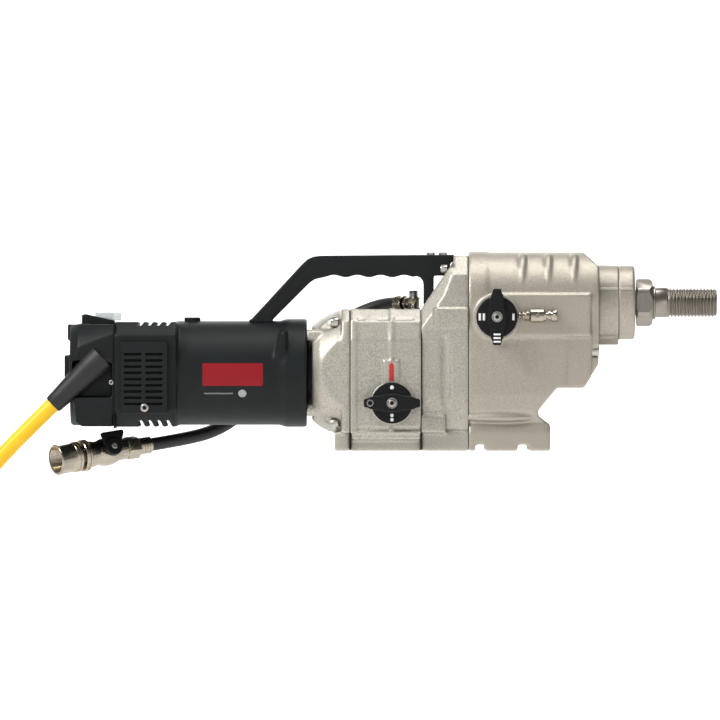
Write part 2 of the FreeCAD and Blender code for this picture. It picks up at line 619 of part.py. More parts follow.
shift_rails = group("shift_rails", [
    cylinder("upper_rail", 3.0, 70.0, d("head_seam"), -41.2, 175.3),
    cylinder("lower_rail", 3.0, 42.0, -72.0, -44.0, 110.0)])

PLUNGER_Y, PLUNGER_Z = -65.5, 144.0
PLUNGER_TRAVEL = 4.5
plunger_sleeve = cut(
    "plunger_sleeve",
    fuse("plunger_outer", cylinder("plunger_barrel", 7.7, 17.6, 92.6, PLUNGER_Y, PLUNGER_Z),
         box("plunger_foot", 93.6, PLUNGER_Y, PLUNGER_Z - 7.0, 15.6, -57.0 - PLUNGER_Y, 14.0)),
    cylinder("plunger_way", 3.55, 30.0, 90.0, PLUNGER_Y, PLUNGER_Z),
    cylinder("plunger_spring_room", 5.8, 10.0, 96.6, PLUNGER_Y, PLUNGER_Z))
plunger_spring = ring("plunger_spring", PLUNGER_Z, 96.8, 106.4, 4.2, 5.5, y=PLUNGER_Y)
plunger_pin = turned("plunger_pin", PLUNGER_Z, [
    (81.0, 0.0), (81.0, 3.2), (81.6, 3.8), (86.8, 3.8), (86.8, 3.5), (115.6, 3.5), (115.6, 6.8), (122.3, 6.8),
    (122.3, 0.0)], y=PLUNGER_Y)

# ---------------------------------------------------------------- handle

handle_outline = padded("handle_outline", "XZ_Plane", [
    (-206, 136), (-150, 203), (-139, d("grip_top")), (9, d("grip_top")), (9, 199), (-8.6, 199), (-8.6, 160),
    (-20, 150), (-20, d("grip_bottom")), (-126, d("grip_bottom")), (-139, 181), (-180, 136)], d("grip_width"))
carrying_handle = cut(
    "carrying_handle", handle_outline,
    cylinder("handle_saddle", d("motor_radius"), 90.0, -230.0, 0.0, d("motor_height")), centre_side)
handle_screws = [cylinder(f"handle_screw_{i}", 4.6, 2.4, x, 0.0, d("grip_top"), "z")
                 for i, x in enumerate((-12.0, 1.0))]
button_head_screws = group("button_head_screws", vent_screws + handle_screws)

# ---------------------------------------------------------------- screws on the castings

case_screws = group("case_screws", [
    cylinder(f"adapter_screw_{i}", 6.2, 8.0, "dims.adapter_start + 20", y, z)
    for i, (y, z) in enumerate(BOLT_PLACES)] + [
    cylinder(f"flange_screw_{i}", 4.8, 7.0, 5.0, y, z) for i, (y, z) in enumerate(FLANGE_SCREWS)] + [
    cylinder(f"front_screw_{i}", 6.2, 9.0, "dims.head_front - 8.5", y, z)
    for i, (y, z) in enumerate(FRONT_SCREWS)])

# ---------------------------------------------------------------- water hose, valve and cord

HOSE_ROUTE = [
    (-42.9, 41.7, 157.6), (-56.4, 57.8, 157.6), (-74, 71, 153.5), (-98, 79.5, 143), (-124, 82, 130), (-148, 80, 115),
    (-170, 76, 95), (-192, 72, 61), (-216, 65, 38), (-244, 51, 20), (-278.4, 34.4, 11.5), (-313.5, 14, 5.9)]
CORD_ROUTE = [(-415, -50, 49), (-466, -50, -0.2), (-508, -50, -52), (-538, -50, -115), (-538, -50, -175)]
ARC_SHARE = 0.45


def tube(name, route, radius):
    """A round tube along straight runs joined by tangent arcs."""
    points = [Vector(*p) for p in route]
    edges = []
    start = points[0]
    radii = []
    for before, corner, after in zip(points, points[1:], points[2:]):
        arriving = (corner - before).normalize()
        leaving = (after - corner).normalize()
        turn = arriving.getAngle(leaving)
        reach = ARC_SHARE * min((corner - before).Length, (after - corner).Length)
        arc_radius = reach / math.tan(turn / 2)
        radii.append(round(arc_radius, 1))
        first = corner - arriving * reach
        last = corner + leaving * reach
        inward = (leaving - arriving).normalize()
        middle_point = corner + inward * (arc_radius / math.cos(turn / 2) - arc_radius)
        edges.append(Part.LineSegment(start, first).toShape())
        edges.append(Part.Arc(first, middle_point, last).toShape())
        start = last
    edges.append(Part.LineSegment(start, points[-1]).toShape())
    path = Part.Wire(edges)
    section = Part.Wire([Part.Circle(points[0], points[1] - points[0], radius).toShape()])
    solid = path.makePipeShell([section], True, False)
    expected = math.pi * radius ** 2 * path.Length
    print(name, "length", round(path.Length, 1), "radii", radii, "volume ratio", round(solid.Volume / expected, 4))
    return coded(name, solid)


water_hose = tube("water_hose", HOSE_ROUTE, size("hose_radius"))
power_cord = tube("power_cord", CORD_ROUTE, size("cord_radius"))

VALVE_ORIGIN = Vector(*HOSE_ROUTE[-1])
VALVE_AXIS = (VALVE_ORIGIN - Vector(*HOSE_ROUTE[-2])).normalize()
ORIGIN = Vector(0, 0, 0)
X_AXIS, Y_AXIS, Z_AXIS = Vector(1, 0, 0), Vector(0, 1, 0), Vector(0, 0, 1)
VALVE_ROLL = 18.0
VALVE_FRAME = Placement(VALVE_ORIGIN, Rotation(VALVE_AXIS, ORIGIN, Z_AXIS, "XZY") * Rotation(X_AXIS, VALVE_ROLL))
BALL_STATION = 54.0
NUT_START, NUT_END = 88.0, 115.0


def bar(start, end, radius, axis=X_AXIS, base=ORIGIN):
    return Part.makeCylinder(radius, end - start, base + axis * start, axis)


def hexagonal(start, end, across_flats):
    corner = across_flats / math.sqrt(3)
    points = [Vector(start, corner * math.cos(math.pi * i / 3), corner * math.sin(math.pi * i / 3)) for i in range(7)]
    return Part.Face(Part.makePolygon(points)).extrude(Vector(end - start, 0, 0))


ball_centre = Vector(BALL_STATION, 0, 0)
valve_body_shape = joined([
    hexagonal(15, 30, 22), bar(29, 86, 11.5), Part.makeSphere(15.0, ball_centre),
    Part.makeCone(12, 15, 16, Vector(62, 0, 0), X_AXIS), bar(78, 86, 17), bar(85, 94, 10),
    bar(93.9, 96, 12.4), bar(0, 16.2, 7.0, Y_AXIS, ball_centre)])
valve_body_shape = valve_body_shape.cut([
    bar(14, 97, 5.0), Part.makeSphere(9.4, ball_centre), bar(0, 20, 3.6, Y_AXIS, ball_centre)])
water_valve_body = coded("water_valve_body", valve_body_shape, VALVE_FRAME)
ball_shape = Part.makeSphere(9.0, ball_centre).cut(bar(-10, 10, 4.5, Z_AXIS, ball_centre))
water_valve_ball = coded("water_valve_ball", ball_shape.fuse(bar(8, 16.5, 3.5, Y_AXIS, ball_centre)).removeSplitter(),
                         VALVE_FRAME)
lever_shape = bar(16.5, 23, 10.0, Y_AXIS, ball_centre).fuse(
    Part.makeBox(27, 4, 12.5, Vector(BALL_STATION - 16.5, 17.5, 4.5))).removeSplitter()
water_valve_lever = coded("water_valve_lever", lever_shape, VALVE_FRAME)
coupling_nut = coded("coupling_nut", bar(NUT_START, NUT_END, 16.4).cut(
    [bar(NUT_START - 1, 93.6, 10.3), bar(93.5, 98.5, 12.8), bar(98.4, NUT_END + 1, 13.0)]), VALVE_FRAME)
coupling_seal = coded("coupling_seal", bar(96.0, 98.4, 12.4).cut(bar(95, 99, 6.0)), VALVE_FRAME)
ferrule_shape = bar(-1, 15, 9.6).cut([bar(-2, 0, 7.0), bar(-1, 16, 5.0)])
ferrule_shape.Placement = VALVE_FRAME
FITTING_FRAME = Placement(Vector(-30.2, 26.5, HOSE_ROUTE[0][2]), Rotation(Z_AXIS, 130))
top_ferrule = bar(14.8, 26.8, 8.4).cut([bar(19.8, 27.8, 7.0), bar(13.8, 20.8, 4.0)])
top_ferrule.Placement = FITTING_FRAME
hose_ferrules = coded("hose_ferrules", Part.makeCompound([ferrule_shape, top_ferrule]))
water_elbow = coded("water_elbow", joined([bar(-6.6, 6.4, 7.0, Z_AXIS), bar(0, 14.8, 6.2)]), FITTING_FRAME)
water_elbow_bolt = coded("water_elbow_bolt", bar(6.4, 13.9, 5.0, Z_AXIS), FITTING_FRAME)
CLIP_RUN = [Vector(*point) for point in HOSE_ROUTE[6:8]]
clip_middle = (CLIP_RUN[0] + CLIP_RUN[1]) * 0.5
clip_axis = (CLIP_RUN[1] - CLIP_RUN[0]).normalize()
hose_clip = coded("hose_clip", joined([
    Part.makeCylinder(9.5, 10, clip_middle - clip_axis * 5, clip_axis),
    bar(55.4, 70, 4.0, Y_AXIS, Vector(-181, 0, 78))]).cut(
        Part.makeCylinder(7.0, 30, clip_middle - clip_axis * 15, clip_axis)))

CORD_START = Vector(*CORD_ROUTE[0])
CORD_AXIS = (Vector(*CORD_ROUTE[1]) - CORD_START).normalize()
BOOT_LENGTH = 66.0
boot_solid = Part.makeCone(12.8, 10.8, BOOT_LENGTH, CORD_START - CORD_AXIS * BOOT_LENGTH, CORD_AXIS)
cord_boot = cut("cord_boot", coded("boot_solid", boot_solid), motor_rear_cap, vent_section)

COIL_X, COIL_Z = CORD_ROUTE[-1][0], -265.0
TAIL_END, PLUG_END = -360.0, -468.0
coil_side = Vector(COIL_X, CORD_ROUTE[-1][1], 0)
coil_centre = Vector(COIL_X, CORD_ROUTE[-1][1] + size("coil_radius"), COIL_Z)
power_cord_coil = coded("power_cord_coil", joined([
    Part.makeTorus(size("coil_radius"), size("coil_bundle"), coil_centre, X_AXIS),
    bar(TAIL_END, CORD_ROUTE[-1][2], size("cord_radius"), Z_AXIS, coil_side)]))
power_plug = coded("power_plug", joined([
    bar(PLUG_END + 66, TAIL_END, 15.0, Z_AXIS, coil_side), bar(PLUG_END + 30, PLUG_END + 70, 24.0, Z_AXIS, coil_side),
    bar(PLUG_END, PLUG_END + 31, 21.5, Z_AXIS, coil_side)]).cut(bar(PLUG_END - 1, PLUG_END + 24, 18.5, Z_AXIS, coil_side)))

# ---------------------------------------------------------------- checks and export

NODES = [
    adapter_casting, lower_case, centre_case, head_case, nose_casting, seal_cap,
    motor_housing, motor_rear_cap, side_vent_covers, button_head_screws, brush_access_cap,
    armature_shaft, armature_core, commutator, field_stator, cooling_fan, armature_bearings, brush_holders,
    carbon_brushes, switch_guard, switch_splash_cover, switch_rocker,
    layshaft, layshaft_bearings, intermediate_shaft, low_speed_gears, intermediate_bearings,
    spindle, spindle_gears, spindle_bearings, spindle_seal, water_seals,
    upper_selector_knob, upper_selector_shaft, upper_selector_screw,
    lower_selector_knob, lower_selector_shaft, lower_selector_screw,
    upper_shift_fork, lower_shift_fork, shift_rails, plunger_sleeve, plunger_spring, plunger_pin,
    carrying_handle, case_screws,
    water_hose, hose_ferrules, water_elbow, water_elbow_bolt, hose_clip, water_valve_body, water_valve_ball,
    water_valve_lever, coupling_nut, coupling_seal, cord_boot, power_cord, power_cord_coil, power_plug]

doc.recompute()
for thing in doc.Objects:
    if "Invalid" in thing.State or "Error" in thing.State:
        raise RuntimeError(f"{thing.Label} failed: {thing.State}")
for node in NODES:
    if node.Shape.isNull() or not node.Shape.isValid() or not node.Shape.Solids:
        raise RuntimeError(f"{node.Label} has no valid solid")

os.makedirs("parts", exist_ok=True)
for node in NODES:
    node.Shape.exportStep(f"parts/{node.Label}.step")
print(len(NODES), "nodes; valve axis", VALVE_AXIS)
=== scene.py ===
import json
import math

import bmesh
import bpy
from mathutils import Matrix, Vector, noise


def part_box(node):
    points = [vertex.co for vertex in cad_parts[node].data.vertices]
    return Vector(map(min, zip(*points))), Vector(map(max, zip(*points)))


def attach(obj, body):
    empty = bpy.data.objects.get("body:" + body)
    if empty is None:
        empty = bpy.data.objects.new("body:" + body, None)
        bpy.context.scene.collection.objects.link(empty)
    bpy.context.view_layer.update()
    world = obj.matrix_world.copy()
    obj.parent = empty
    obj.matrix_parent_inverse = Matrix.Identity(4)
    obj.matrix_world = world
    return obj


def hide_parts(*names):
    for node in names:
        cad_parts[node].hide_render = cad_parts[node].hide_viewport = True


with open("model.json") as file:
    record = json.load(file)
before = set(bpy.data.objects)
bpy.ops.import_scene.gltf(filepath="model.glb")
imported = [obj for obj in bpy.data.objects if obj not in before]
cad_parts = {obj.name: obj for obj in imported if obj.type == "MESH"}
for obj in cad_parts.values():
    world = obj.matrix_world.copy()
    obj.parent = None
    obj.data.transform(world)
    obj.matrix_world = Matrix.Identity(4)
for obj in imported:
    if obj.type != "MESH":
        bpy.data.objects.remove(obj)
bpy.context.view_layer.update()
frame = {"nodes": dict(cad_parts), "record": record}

MM = 0.001
HOUSING = "housing"


def mm(*coordinates):
    """A point given in millimetres, as a vector in metres."""
    return Vector(coordinates) * MM


def low(node):
    return Vector(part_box(node)[0])


def high(node):
    return Vector(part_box(node)[1])


def linked(name, data):
    """A new object in the scene."""
    thing = bpy.data.objects.new(name, data)
    bpy.context.collection.objects.link(thing)
    return thing


def middle(node):
    return (low(node) + high(node)) / 2


# ------ camera, studio, light

VIEW_CENTRE = mm(-87.7, 0, 96.8)
VIEW_WIDTH = 770.4 * MM
CAMERA_DISTANCE = 11000 * MM
SENSOR = 36.0


def aim(thing, target):
    thing.rotation_euler = (target - thing.location).to_track_quat("-Z", "Y").to_euler()


camera = linked("camera", bpy.data.cameras.new("camera"))
camera.location = VIEW_CENTRE + Vector((0, -CAMERA_DISTANCE, 0))
camera.data.sensor_width = SENSOR
camera.data.lens = SENSOR * CAMERA_DISTANCE / VIEW_WIDTH
aim(camera, VIEW_CENTRE)
bpy.context.scene.camera = camera


def area_light(name, place, target, size, watts, tint=(1, 1, 1)):
    lamp = bpy.data.lights.new(name, "AREA")
    lamp.shape = "RECTANGLE"
    lamp.size, lamp.size_y = size
    lamp.energy = watts
    lamp.color = tint
    thing = linked(name, lamp)
    thing.location = place
    aim(thing, target)


FOCUS = Vector((-0.05, 0, 0.1))
area_light("key", Vector((-1.6, -1.0, 1.6)), FOCUS, (0.8, 0.6), 46)
area_light("top", Vector((0.1, -0.1, 1.8)), FOCUS, (1.6, 0.6), 18)
area_light("fill", Vector((1.7, -1.9, 0.3)), FOCUS, (1.0, 1.0), 4, (1.0, 0.94, 0.86))
area_light("front", Vector((-0.7, -2.6, 0.7)), FOCUS, (1.2, 0.6), 6)
area_light("rim", Vector((-0.4, 1.7, 0.9)), FOCUS, (1.6, 1.0), 10)

bpy.context.scene.view_settings.view_transform = "Standard"
world = bpy.data.worlds.new("studio")
bpy.context.scene.world = world
world.use_nodes = True
world.node_tree.nodes["Background"].inputs["Color"].default_value = (0.97, 0.975, 0.985, 1)
world.node_tree.nodes["Background"].inputs["Strength"].default_value = 0.2


# ------ shader helpers

class Field:
    """A socket that varies over a surface, with arithmetic that adds Math nodes."""

    def __init__(self, finish, socket):
        self.finish = finish
        self.socket = socket

    def math(self, operation, *others):
        values = {i: other for i, other in enumerate((self, *others))}
        return self.finish.node("ShaderNodeMath", {"operation": operation}, values)

    def __add__(self, other):
        return self.math("ADD", other)

    def __mul__(self, other):
        return self.math("MULTIPLY", other)

    def __sub__(self, other):
        return self.math("SUBTRACT", other)

    def __rsub__(self, other):
        return self.finish.node("ShaderNodeMath", {"operation": "SUBTRACT"}, {0: other, 1: self})

    __radd__ = __add__
    __rmul__ = __mul__

    def above(self, level, softness):
        """0 under the level and 1 over it, with a soft step."""
        return self.finish.node("ShaderNodeMapRange", {"interpolation_type": "SMOOTHSTEP"},
                                {"Value": self, "From Min": level - softness, "From Max": level + softness})


class Finish:
    """One material and the nodes that make it."""

    def __init__(self, name, **constants):
        self.material = bpy.data.materials.new(name)
        self.material.use_nodes = True
        self.tree = self.material.node_tree
        self.shader = self.tree.nodes["Principled BSDF"]
        for socket, value in constants.items():
            self.set(socket.replace("_", " "), value)
        self.place = self.node("ShaderNodeTexCoord", {}, {}, "Object")

    def node(self, kind, settings, inputs, output=0):
        made = self.tree.nodes.new(kind)
        for key, value in settings.items():
            setattr(made, key, value)
        for key, value in inputs.items():
            if isinstance(value, Field):
                self.tree.links.new(value.socket, made.inputs[key])
            else:
                made.inputs[key].default_value = value
        return Field(self, made.outputs[output])

    def set(self, socket, value):
        if isinstance(value, Field):
            self.tree.links.new(value.socket, self.shader.inputs[socket])
            return
        if isinstance(value, tuple) and len(value) == 3:
            value = (*value, 1)
        self.shader.inputs[socket].default_value = value

    def noise(self, scale, detail=2.0, stretch=(1, 1, 1), roughness=0.5):
        where = self.place
        if stretch != (1, 1, 1):
            where = self.node("ShaderNodeMapping", {}, {"Vector": where, "Scale": stretch})
        return self.node("ShaderNodeTexNoise", {}, {
            "Vector": where, "Scale": scale, "Detail": detail, "Roughness": roughness}, "Fac")

    def blend(self, factor, first, second):
        return self.node("ShaderNodeMix", {"data_type": "RGBA"}, {
            0: factor, 6: (*first, 1) if isinstance(first, tuple) else first,
            7: (*second, 1) if isinstance(second, tuple) else second}, 2)

    def bump(self, height, distance, strength=1.0):
        self.set("Normal", self.node("ShaderNodeBump", {}, {
            "Height": height, "Distance": distance, "Strength": strength}))

    def edge(self):
        """Bright on outer edges and dark in corners."""
        return self.node("ShaderNodeNewGeometry", {}, {}, "Pointiness")


def cast_alloy(name, grain_scale, dark, light):
    """Blasted light alloy: a speckled grain, paler on worn edges, and darker in the corners as painted shade.
    """
    finish = Finish(name, Metallic=0.72)
    grain = finish.noise(grain_scale, 3, roughness=0.7)
    speckle = finish.noise(420, 2)
    cloud = finish.noise(16, 3)
    middle = tuple((low + high) / 2 for low, high in zip(dark, light))
    tone = finish.blend(grain.above(0.5, 0.18), dark, light)
    tone = finish.blend(cloud.above(0.52, 0.2) * 0.35, tone, middle)
    worn = finish.edge().above(0.545, 0.03)
    tone = finish.blend(worn * 0.4, tone, (0.74, 0.70, 0.64))
    # Painted shade: darker in the corners and creases, where shade falls.
    painted_corner_shade = 1 - finish.edge().above(0.458, 0.03)
    finish.set("Base Color", finish.blend(painted_corner_shade * 0.5, tone, (0.10, 0.085, 0.065)))
    finish.set("Roughness", 0.36 + speckle * 0.22)
    finish.bump(grain * 0.6 + speckle * 0.4, 0.0003, 0.8)
    return finish.material


def black_plastic(name="moulded_black", base=(0.0045, 0.0062, 0.0062), shine=0.4):
    finish = Finish(name, Specular_IOR_Level=0.2)
    grain = finish.noise(2200, 2)
    cloud = finish.noise(30, 3)
    scuff = finish.noise(260, 4, (1, 6, 6)).above(0.72, 0.05)
    lighter = tuple(c * 1.9 + 0.002 for c in base)
    tone = finish.blend(cloud * 0.7, base, lighter)
    finish.set("Base Color", finish.blend(scuff * 0.25, tone, (0.09, 0.09, 0.09)))
    finish.set("Roughness", shine + grain * 0.16 - finish.edge().above(0.53, 0.03) * 0.1)
    finish.bump(grain, 0.00008, 0.5)
    return finish.material


def turned_metal(name, dark, light, rough, stretch=(60, 1, 1), metallic=1.0):
    finish = Finish(name, Metallic=metallic)
    lines = finish.noise(70, 3, stretch)
    patches = finish.noise(45, 3)
    finish.set("Base Color", finish.blend(lines * 0.6 + patches * 0.4, dark, light))
    finish.set("Roughness", rough + lines * 0.14 + patches * 0.08)
    finish.bump(lines, 0.00005, 0.6)
    return finish.material


def rubber(name, base, lighter, rough=0.55):
    finish = Finish(name)
    grain = finish.noise(900, 3)
    dust = finish.noise(70, 4).above(0.6, 0.12)
    finish.set("Base Color", finish.blend(dust * 0.35 + grain * 0.15, base, lighter))
    finish.set("Roughness", rough + grain * 0.15)
    finish.bump(grain, 0.00006, 0.6)
    return finish.material


def paint(name, colour, second, rough=0.35):
    finish = Finish(name)
    wear = finish.noise(500, 4).above(0.66, 0.08)
    finish.set("Base Color", finish.blend(wear * 0.5, colour, second))
    finish.set("Roughness", rough + finish.noise(900) * 0.15)
    return finish.material


def clear_plastic():
    finish = Finish("clear_moulding", Roughness=0.06, Base_Color=(0.62, 0.66, 0.66))
    scratches = finish.noise(300, 4, (1, 8, 8))
    finish.set("Alpha", 0.42 + scratches.above(0.55, 0.1) * 0.3)
    finish.bump(scratches, 0.0001, 0.4)
    return finish.material


def studio_white():
    """Plain white that glows a little near the object and more far away, so that no horizon shows."""
    finish = Finish("studio_white", Roughness=0.95, Emission_Strength=1.0)
    distance = finish.node("ShaderNodeVectorMath", {"operation": "LENGTH"}, {0: finish.place}, 1)
    finish.set("Emission Color", finish.blend(distance.above(4.0, 1.5), (0.42, 0.42, 0.42),
                                              (0.85, 0.85, 0.85)))
    finish.set("Base Color", finish.blend(finish.noise(3) * 0.5, (0.86, 0.86, 0.865), (0.9, 0.9, 0.9)))
    return finish.material


CAST = cast_alloy("blasted_casting", 800, (0.31, 0.29, 0.245), (0.56, 0.53, 0.465))
FINE_CAST = cast_alloy("fine_casting", 1300, (0.30, 0.27, 0.22), (0.54, 0.495, 0.42))
BLACK = black_plastic()
KNOB_BLACK = black_plastic("knob_black", (0.003, 0.0034, 0.0036), 0.34)
STEEL = turned_metal("turned_steel", (0.17, 0.152, 0.13), (0.46, 0.425, 0.375), 0.2)
SCREW_STEEL = turned_metal("screw_steel", (0.28, 0.27, 0.25), (0.62, 0.60, 0.56), 0.18, (1, 1, 1))
NICKEL = turned_metal("nickel_plate", (0.20, 0.17, 0.125), (0.62, 0.56, 0.47), 0.1, (8, 8, 8))
BRASS = turned_metal("raw_brass", (0.30, 0.21, 0.09), (0.60, 0.46, 0.24), 0.22, (8, 8, 8))
HOSE_RUBBER = rubber("hose_rubber", (0.003, 0.003, 0.003), (0.012, 0.012, 0.012), 0.42)
BOOT_RUBBER = rubber("boot_rubber", (0.004, 0.0045, 0.004), (0.018, 0.018, 0.017), 0.45)
YELLOW = rubber("yellow_sheath", (0.86, 0.50, 0.0), (0.92, 0.60, 0.01), 0.34)
RED = paint("red_label", (0.50, 0.006, 0.016), (0.34, 0.012, 0.02))
RED_LINE = paint("red_pointer", (0.50, 0.02, 0.015), (0.3, 0.02, 0.02))
WHITE = paint("white_mark", (0.82, 0.82, 0.80), (0.5, 0.5, 0.49))
GREY_MARK = paint("grey_mark", (0.33, 0.34, 0.34), (0.15, 0.15, 0.15))
CLEAR = clear_plastic()
# Matte dark plastic for real dark parts such as the carbon brushes and the joint lines, and for painted shade
# in screw recesses and behind the vent covers.
DARK = black_plastic("dark_parts_and_painted_shade", (0.004, 0.004, 0.004), 0.7)
STUDIO_WHITE = studio_white()


# ------ mesh helpers

def as_mesh(shape, name="shape"):
    """A bmesh made into a mesh whose faces point outwards; a mesh stays as it is."""
    if not isinstance(shape, bmesh.types.BMesh):
        return shape
    mesh = bpy.data.meshes.new(name)
    bmesh.ops.recalc_face_normals(shape, faces=shape.faces)
    shape.to_mesh(mesh)
    shape.free()
    return mesh


def finished(shape, name, material, body=HOUSING, replaces=(), smooth=True, angle=35):
    """A new object from a shape, shaded, given its finish and set riding on its body."""
    mesh = as_mesh(shape, name)
    mesh.materials.clear()
    mesh.materials.append(material)
    thing = linked(name, mesh)
    if smooth:
        shade(mesh, angle)
    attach(thing, body)
    if replaces:
        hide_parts(*replaces)
    return thing


def shade(mesh, angle):
    for polygon in mesh.polygons:
        polygon.use_smooth = True
    mesh.set_sharp_from_angle(angle=math.radians(angle))


def applied(thing, *modifiers):
    """Adds modifiers, given as (type, settings), and makes their result the object's mesh."""
    for kind, settings in modifiers:
        modifier = thing.modifiers.new(kind.lower(), kind)
        for key, value in settings.items():
            setattr(modifier, key, value)
    result = bpy.data.meshes.new_from_object(
        thing.evaluated_get(bpy.context.evaluated_depsgraph_get()))
    thing.modifiers.clear()
    old = thing.data
    thing.data = result
    bpy.data.meshes.remove(old)
    return thing


def scratch(shape, name="scratch"):
    """An object for modelling steps that isn't a piece yet."""
    return linked(name, as_mesh(shape, name))


def discard(thing):
    mesh = thing.data
    bpy.data.objects.remove(thing)
    return mesh


def joined(*meshes):
    """One bmesh that holds all the given meshes or bmeshes."""
    whole = bmesh.new()
    for part in meshes:
        whole.from_mesh(as_mesh(part))
    return whole


def block(corner, opposite):
    """A box between two corners."""
    a, b = Vector(corner), Vector(opposite)
    made = bmesh.new()
    place = Matrix.Translation((a + b) / 2) @ Matrix.Diagonal((*(b - a), 1))
    bmesh.ops.create_cube(made, size=1.0, matrix=place)
    return made


def turning(axis):
    """The rotation that takes +X to an axis."""
    return Vector((1, 0, 0)).rotation_difference(Vector(axis).normalized()).to_matrix().to_4x4()


def lathe(profile, origin=(0, 0, 0), axis=(1, 0, 0), steps=64, ripple=None):
    """A turned shape: profile holds (station, radius) along the axis, in metres; radius 0 closes an end."""
    made = bmesh.new()
    rings = []
    place = Matrix.Translation(Vector(origin)) @ turning(axis)
    for station, radius in profile:
        if radius <= 0:
            rings.append([made.verts.new(place @ Vector((station, 0, 0)))])
            continue
        ring = []
        for i in range(steps):
            a = 2 * math.pi * i / steps
            r = radius + (ripple(station, a) if ripple else 0)
            ring.append(made.verts.new(place @ Vector((station, r * math.cos(a), r * math.sin(a)))))
        rings.append(ring)
    for first, second in zip(rings, rings[1:]):
        for i in range(steps):
            j = (i + 1) % steps
            corners = [first[i % len(first)], first[j % len(first)], second[j % len(second)],
                       second[i % len(second)]]
            unique = list(dict.fromkeys(corners))
            if len(unique) > 2:
                made.faces.new(unique)
    for end in (rings[0], rings[-1]):
        if len(end) > 1:
            made.faces.new(end)
    return made


def lofted(made, rings):
    """Faces from each ring of vertices to the next, and over both ends."""
    around = len(rings[0])
    for first, second in zip(rings, rings[1:]):
        for j in range(around):
            k = (j + 1) % around
            made.faces.new((first[j], first[k], second[k], second[j]))
    made.faces.new(rings[0])
    made.faces.new(rings[-1])
    return made


def tube_ring(profile, **where):
    """A turned shape whose closed profile doesn't touch the axis, such as a ring."""
    made = lathe(profile + profile[:1], **where)
    bmesh.ops.delete(made, geom=[f for f in made.faces if len(f.verts) > 4], context="FACES_ONLY")
    bmesh.ops.remove_doubles(made, verts=made.verts, dist=1e-7)
    return made


def slab(outline, near, far, plane="XZ"):
    """A flat outline given depth: on the XZ plane from y=near to far, or on YZ from x=near to far."""
    made = bmesh.new()

    def at(u, v, depth):
        return Vector((u, depth, v)) if plane == "XZ" else Vector((depth, u, v))

    first = [made.verts.new(at(u, v, near)) for u, v in outline]
    second = [made.verts.new(at(u, v, far)) for u, v in outline]
    made.faces.new(first)
    made.faces.new(list(reversed(second)))
    for i in range(len(outline)):
        j = (i + 1) % len(outline)
        made.faces.new((first[i], second[i], second[j], first[j]))
    return made


def ball(centre, radii, rotation=None):
    made = bmesh.new()
    matrix = Matrix.Translation(Vector(centre)) @ (rotation or Matrix()) @ Matrix.Diagonal((*radii, 1))
    bmesh.ops.create_uvsphere(made, u_segments=32, v_segments=20, radius=1.0, matrix=matrix)
    return made


def rounded(bm, width, segments=3, angle=30):
    """The same shape with its sharp edges rounded."""
    return discard(applied(scratch(bm), ("BEVEL", {
        "width": width, "segments": segments, "limit_method": "ANGLE", "angle_limit": math.radians(angle)})))


def skinned(bm, voxel, passes, keep=1.0):
    """One skin over overlapping closed shapes, with every edge softened as on a casting or moulding."""
    steps = [("REMESH", {"mode": "VOXEL", "voxel_size": voxel}),
             ("SMOOTH", {"factor": 0.5, "iterations": passes})]
    if keep < 1:
        steps.append(("DECIMATE", {"ratio": keep}))
    thing = scratch(bm)
    for step in steps:
        applied(thing, step)
    return discard(thing)


def combined(thing, other, operation):
    """Applies a boolean to an object with another one, which is used up."""
    applied(thing, ("BOOLEAN", {"operation": operation, "solver": "EXACT", "object": other}))
    discard(other)
    return thing


def carved(bm, *tools):
    """Cuts the tools out of a shape."""
    thing = scratch(bm)
    for tool in tools:
        combined(thing, scratch(tool, "cutter"), "DIFFERENCE")
    return discard(thing)


def copy_of(node):
    made = bmesh.new()
    made.from_mesh(frame["nodes"][node].data)
    bmesh.ops.remove_doubles(made, verts=made.verts, dist=1e-6)
    return made


def socket_head(centre, axis, radius, height):
    """A socket-head screw: its underside is at centre and the axis points out of it."""
    key = radius * 0.55
    profile = [(0, 0), (0, radius), (height * 0.82, radius), (height, radius * 0.86), (height, key),
               (height * 0.45, key * 0.98), (height * 0.45, 0)]
    return lathe(profile, centre, axis, steps=36)


def nurbs(name, points, diameter, material, body=HOUSING, steps=12):
    curve = bpy.data.curves.new(name, "CURVE")
    curve.dimensions = "3D"
    curve.bevel_depth = diameter / 2
    curve.bevel_resolution = 6
    curve.resolution_u = steps
    curve.use_fill_caps = True
    spline = curve.splines.new("NURBS")
    spline.points.add(len(points) - 1)
    for point, place in zip(spline.points, points):
        point.co = (*place, 1)
    spline.order_u = 3
    spline.use_endpoint_u = True
    curve.materials.append(material)
    thing = linked(name, curve)
    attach(thing, body)
    return thing


# ------ floor and wall

STUDIO_REACH = 60.0
STUDIO_HEIGHT = 30.0


def stage_sheet(name, corners):
    """One flat sheet of the studio, which isn't part of the object."""
    made = bmesh.new()
    made.faces.new([made.verts.new(corner) for corner in corners])
    mesh = as_mesh(made, name)
    mesh.materials.append(STUDIO_WHITE)
    linked(name, mesh)


def studio():
    """A pale floor under the whole object, with a white wall well behind it."""
    reach, floor = STUDIO_REACH, low("power_plug").z - 0.03
    stage_sheet("pale_floor", [(-reach, -reach, floor), (reach, -reach, floor), (reach, reach, floor),
                               (-reach, reach, floor)])
    stage_sheet("white_wall", [(-reach, reach, floor), (reach, reach, floor), (reach, reach, STUDIO_HEIGHT),
                               (-reach, reach, STUDIO_HEIGHT)])


studio()

# ------ power cord, boot and plug

CORD_DIAMETER = 16.5 * MM
CORD_ROUTE = [(-415, -50, 49), (-466, -50, -0.2), (-508, -50, -52), (-538, -50, -115)]
COIL_TOP = mm(-538, -50, -175)
COIL_RADIUS = 95 * MM
COIL_CENTRE = mm(-538, 45, -265)
TURNS = 6
TURN_POINTS = 16
TAIL_END = mm(-538, -50, -360)


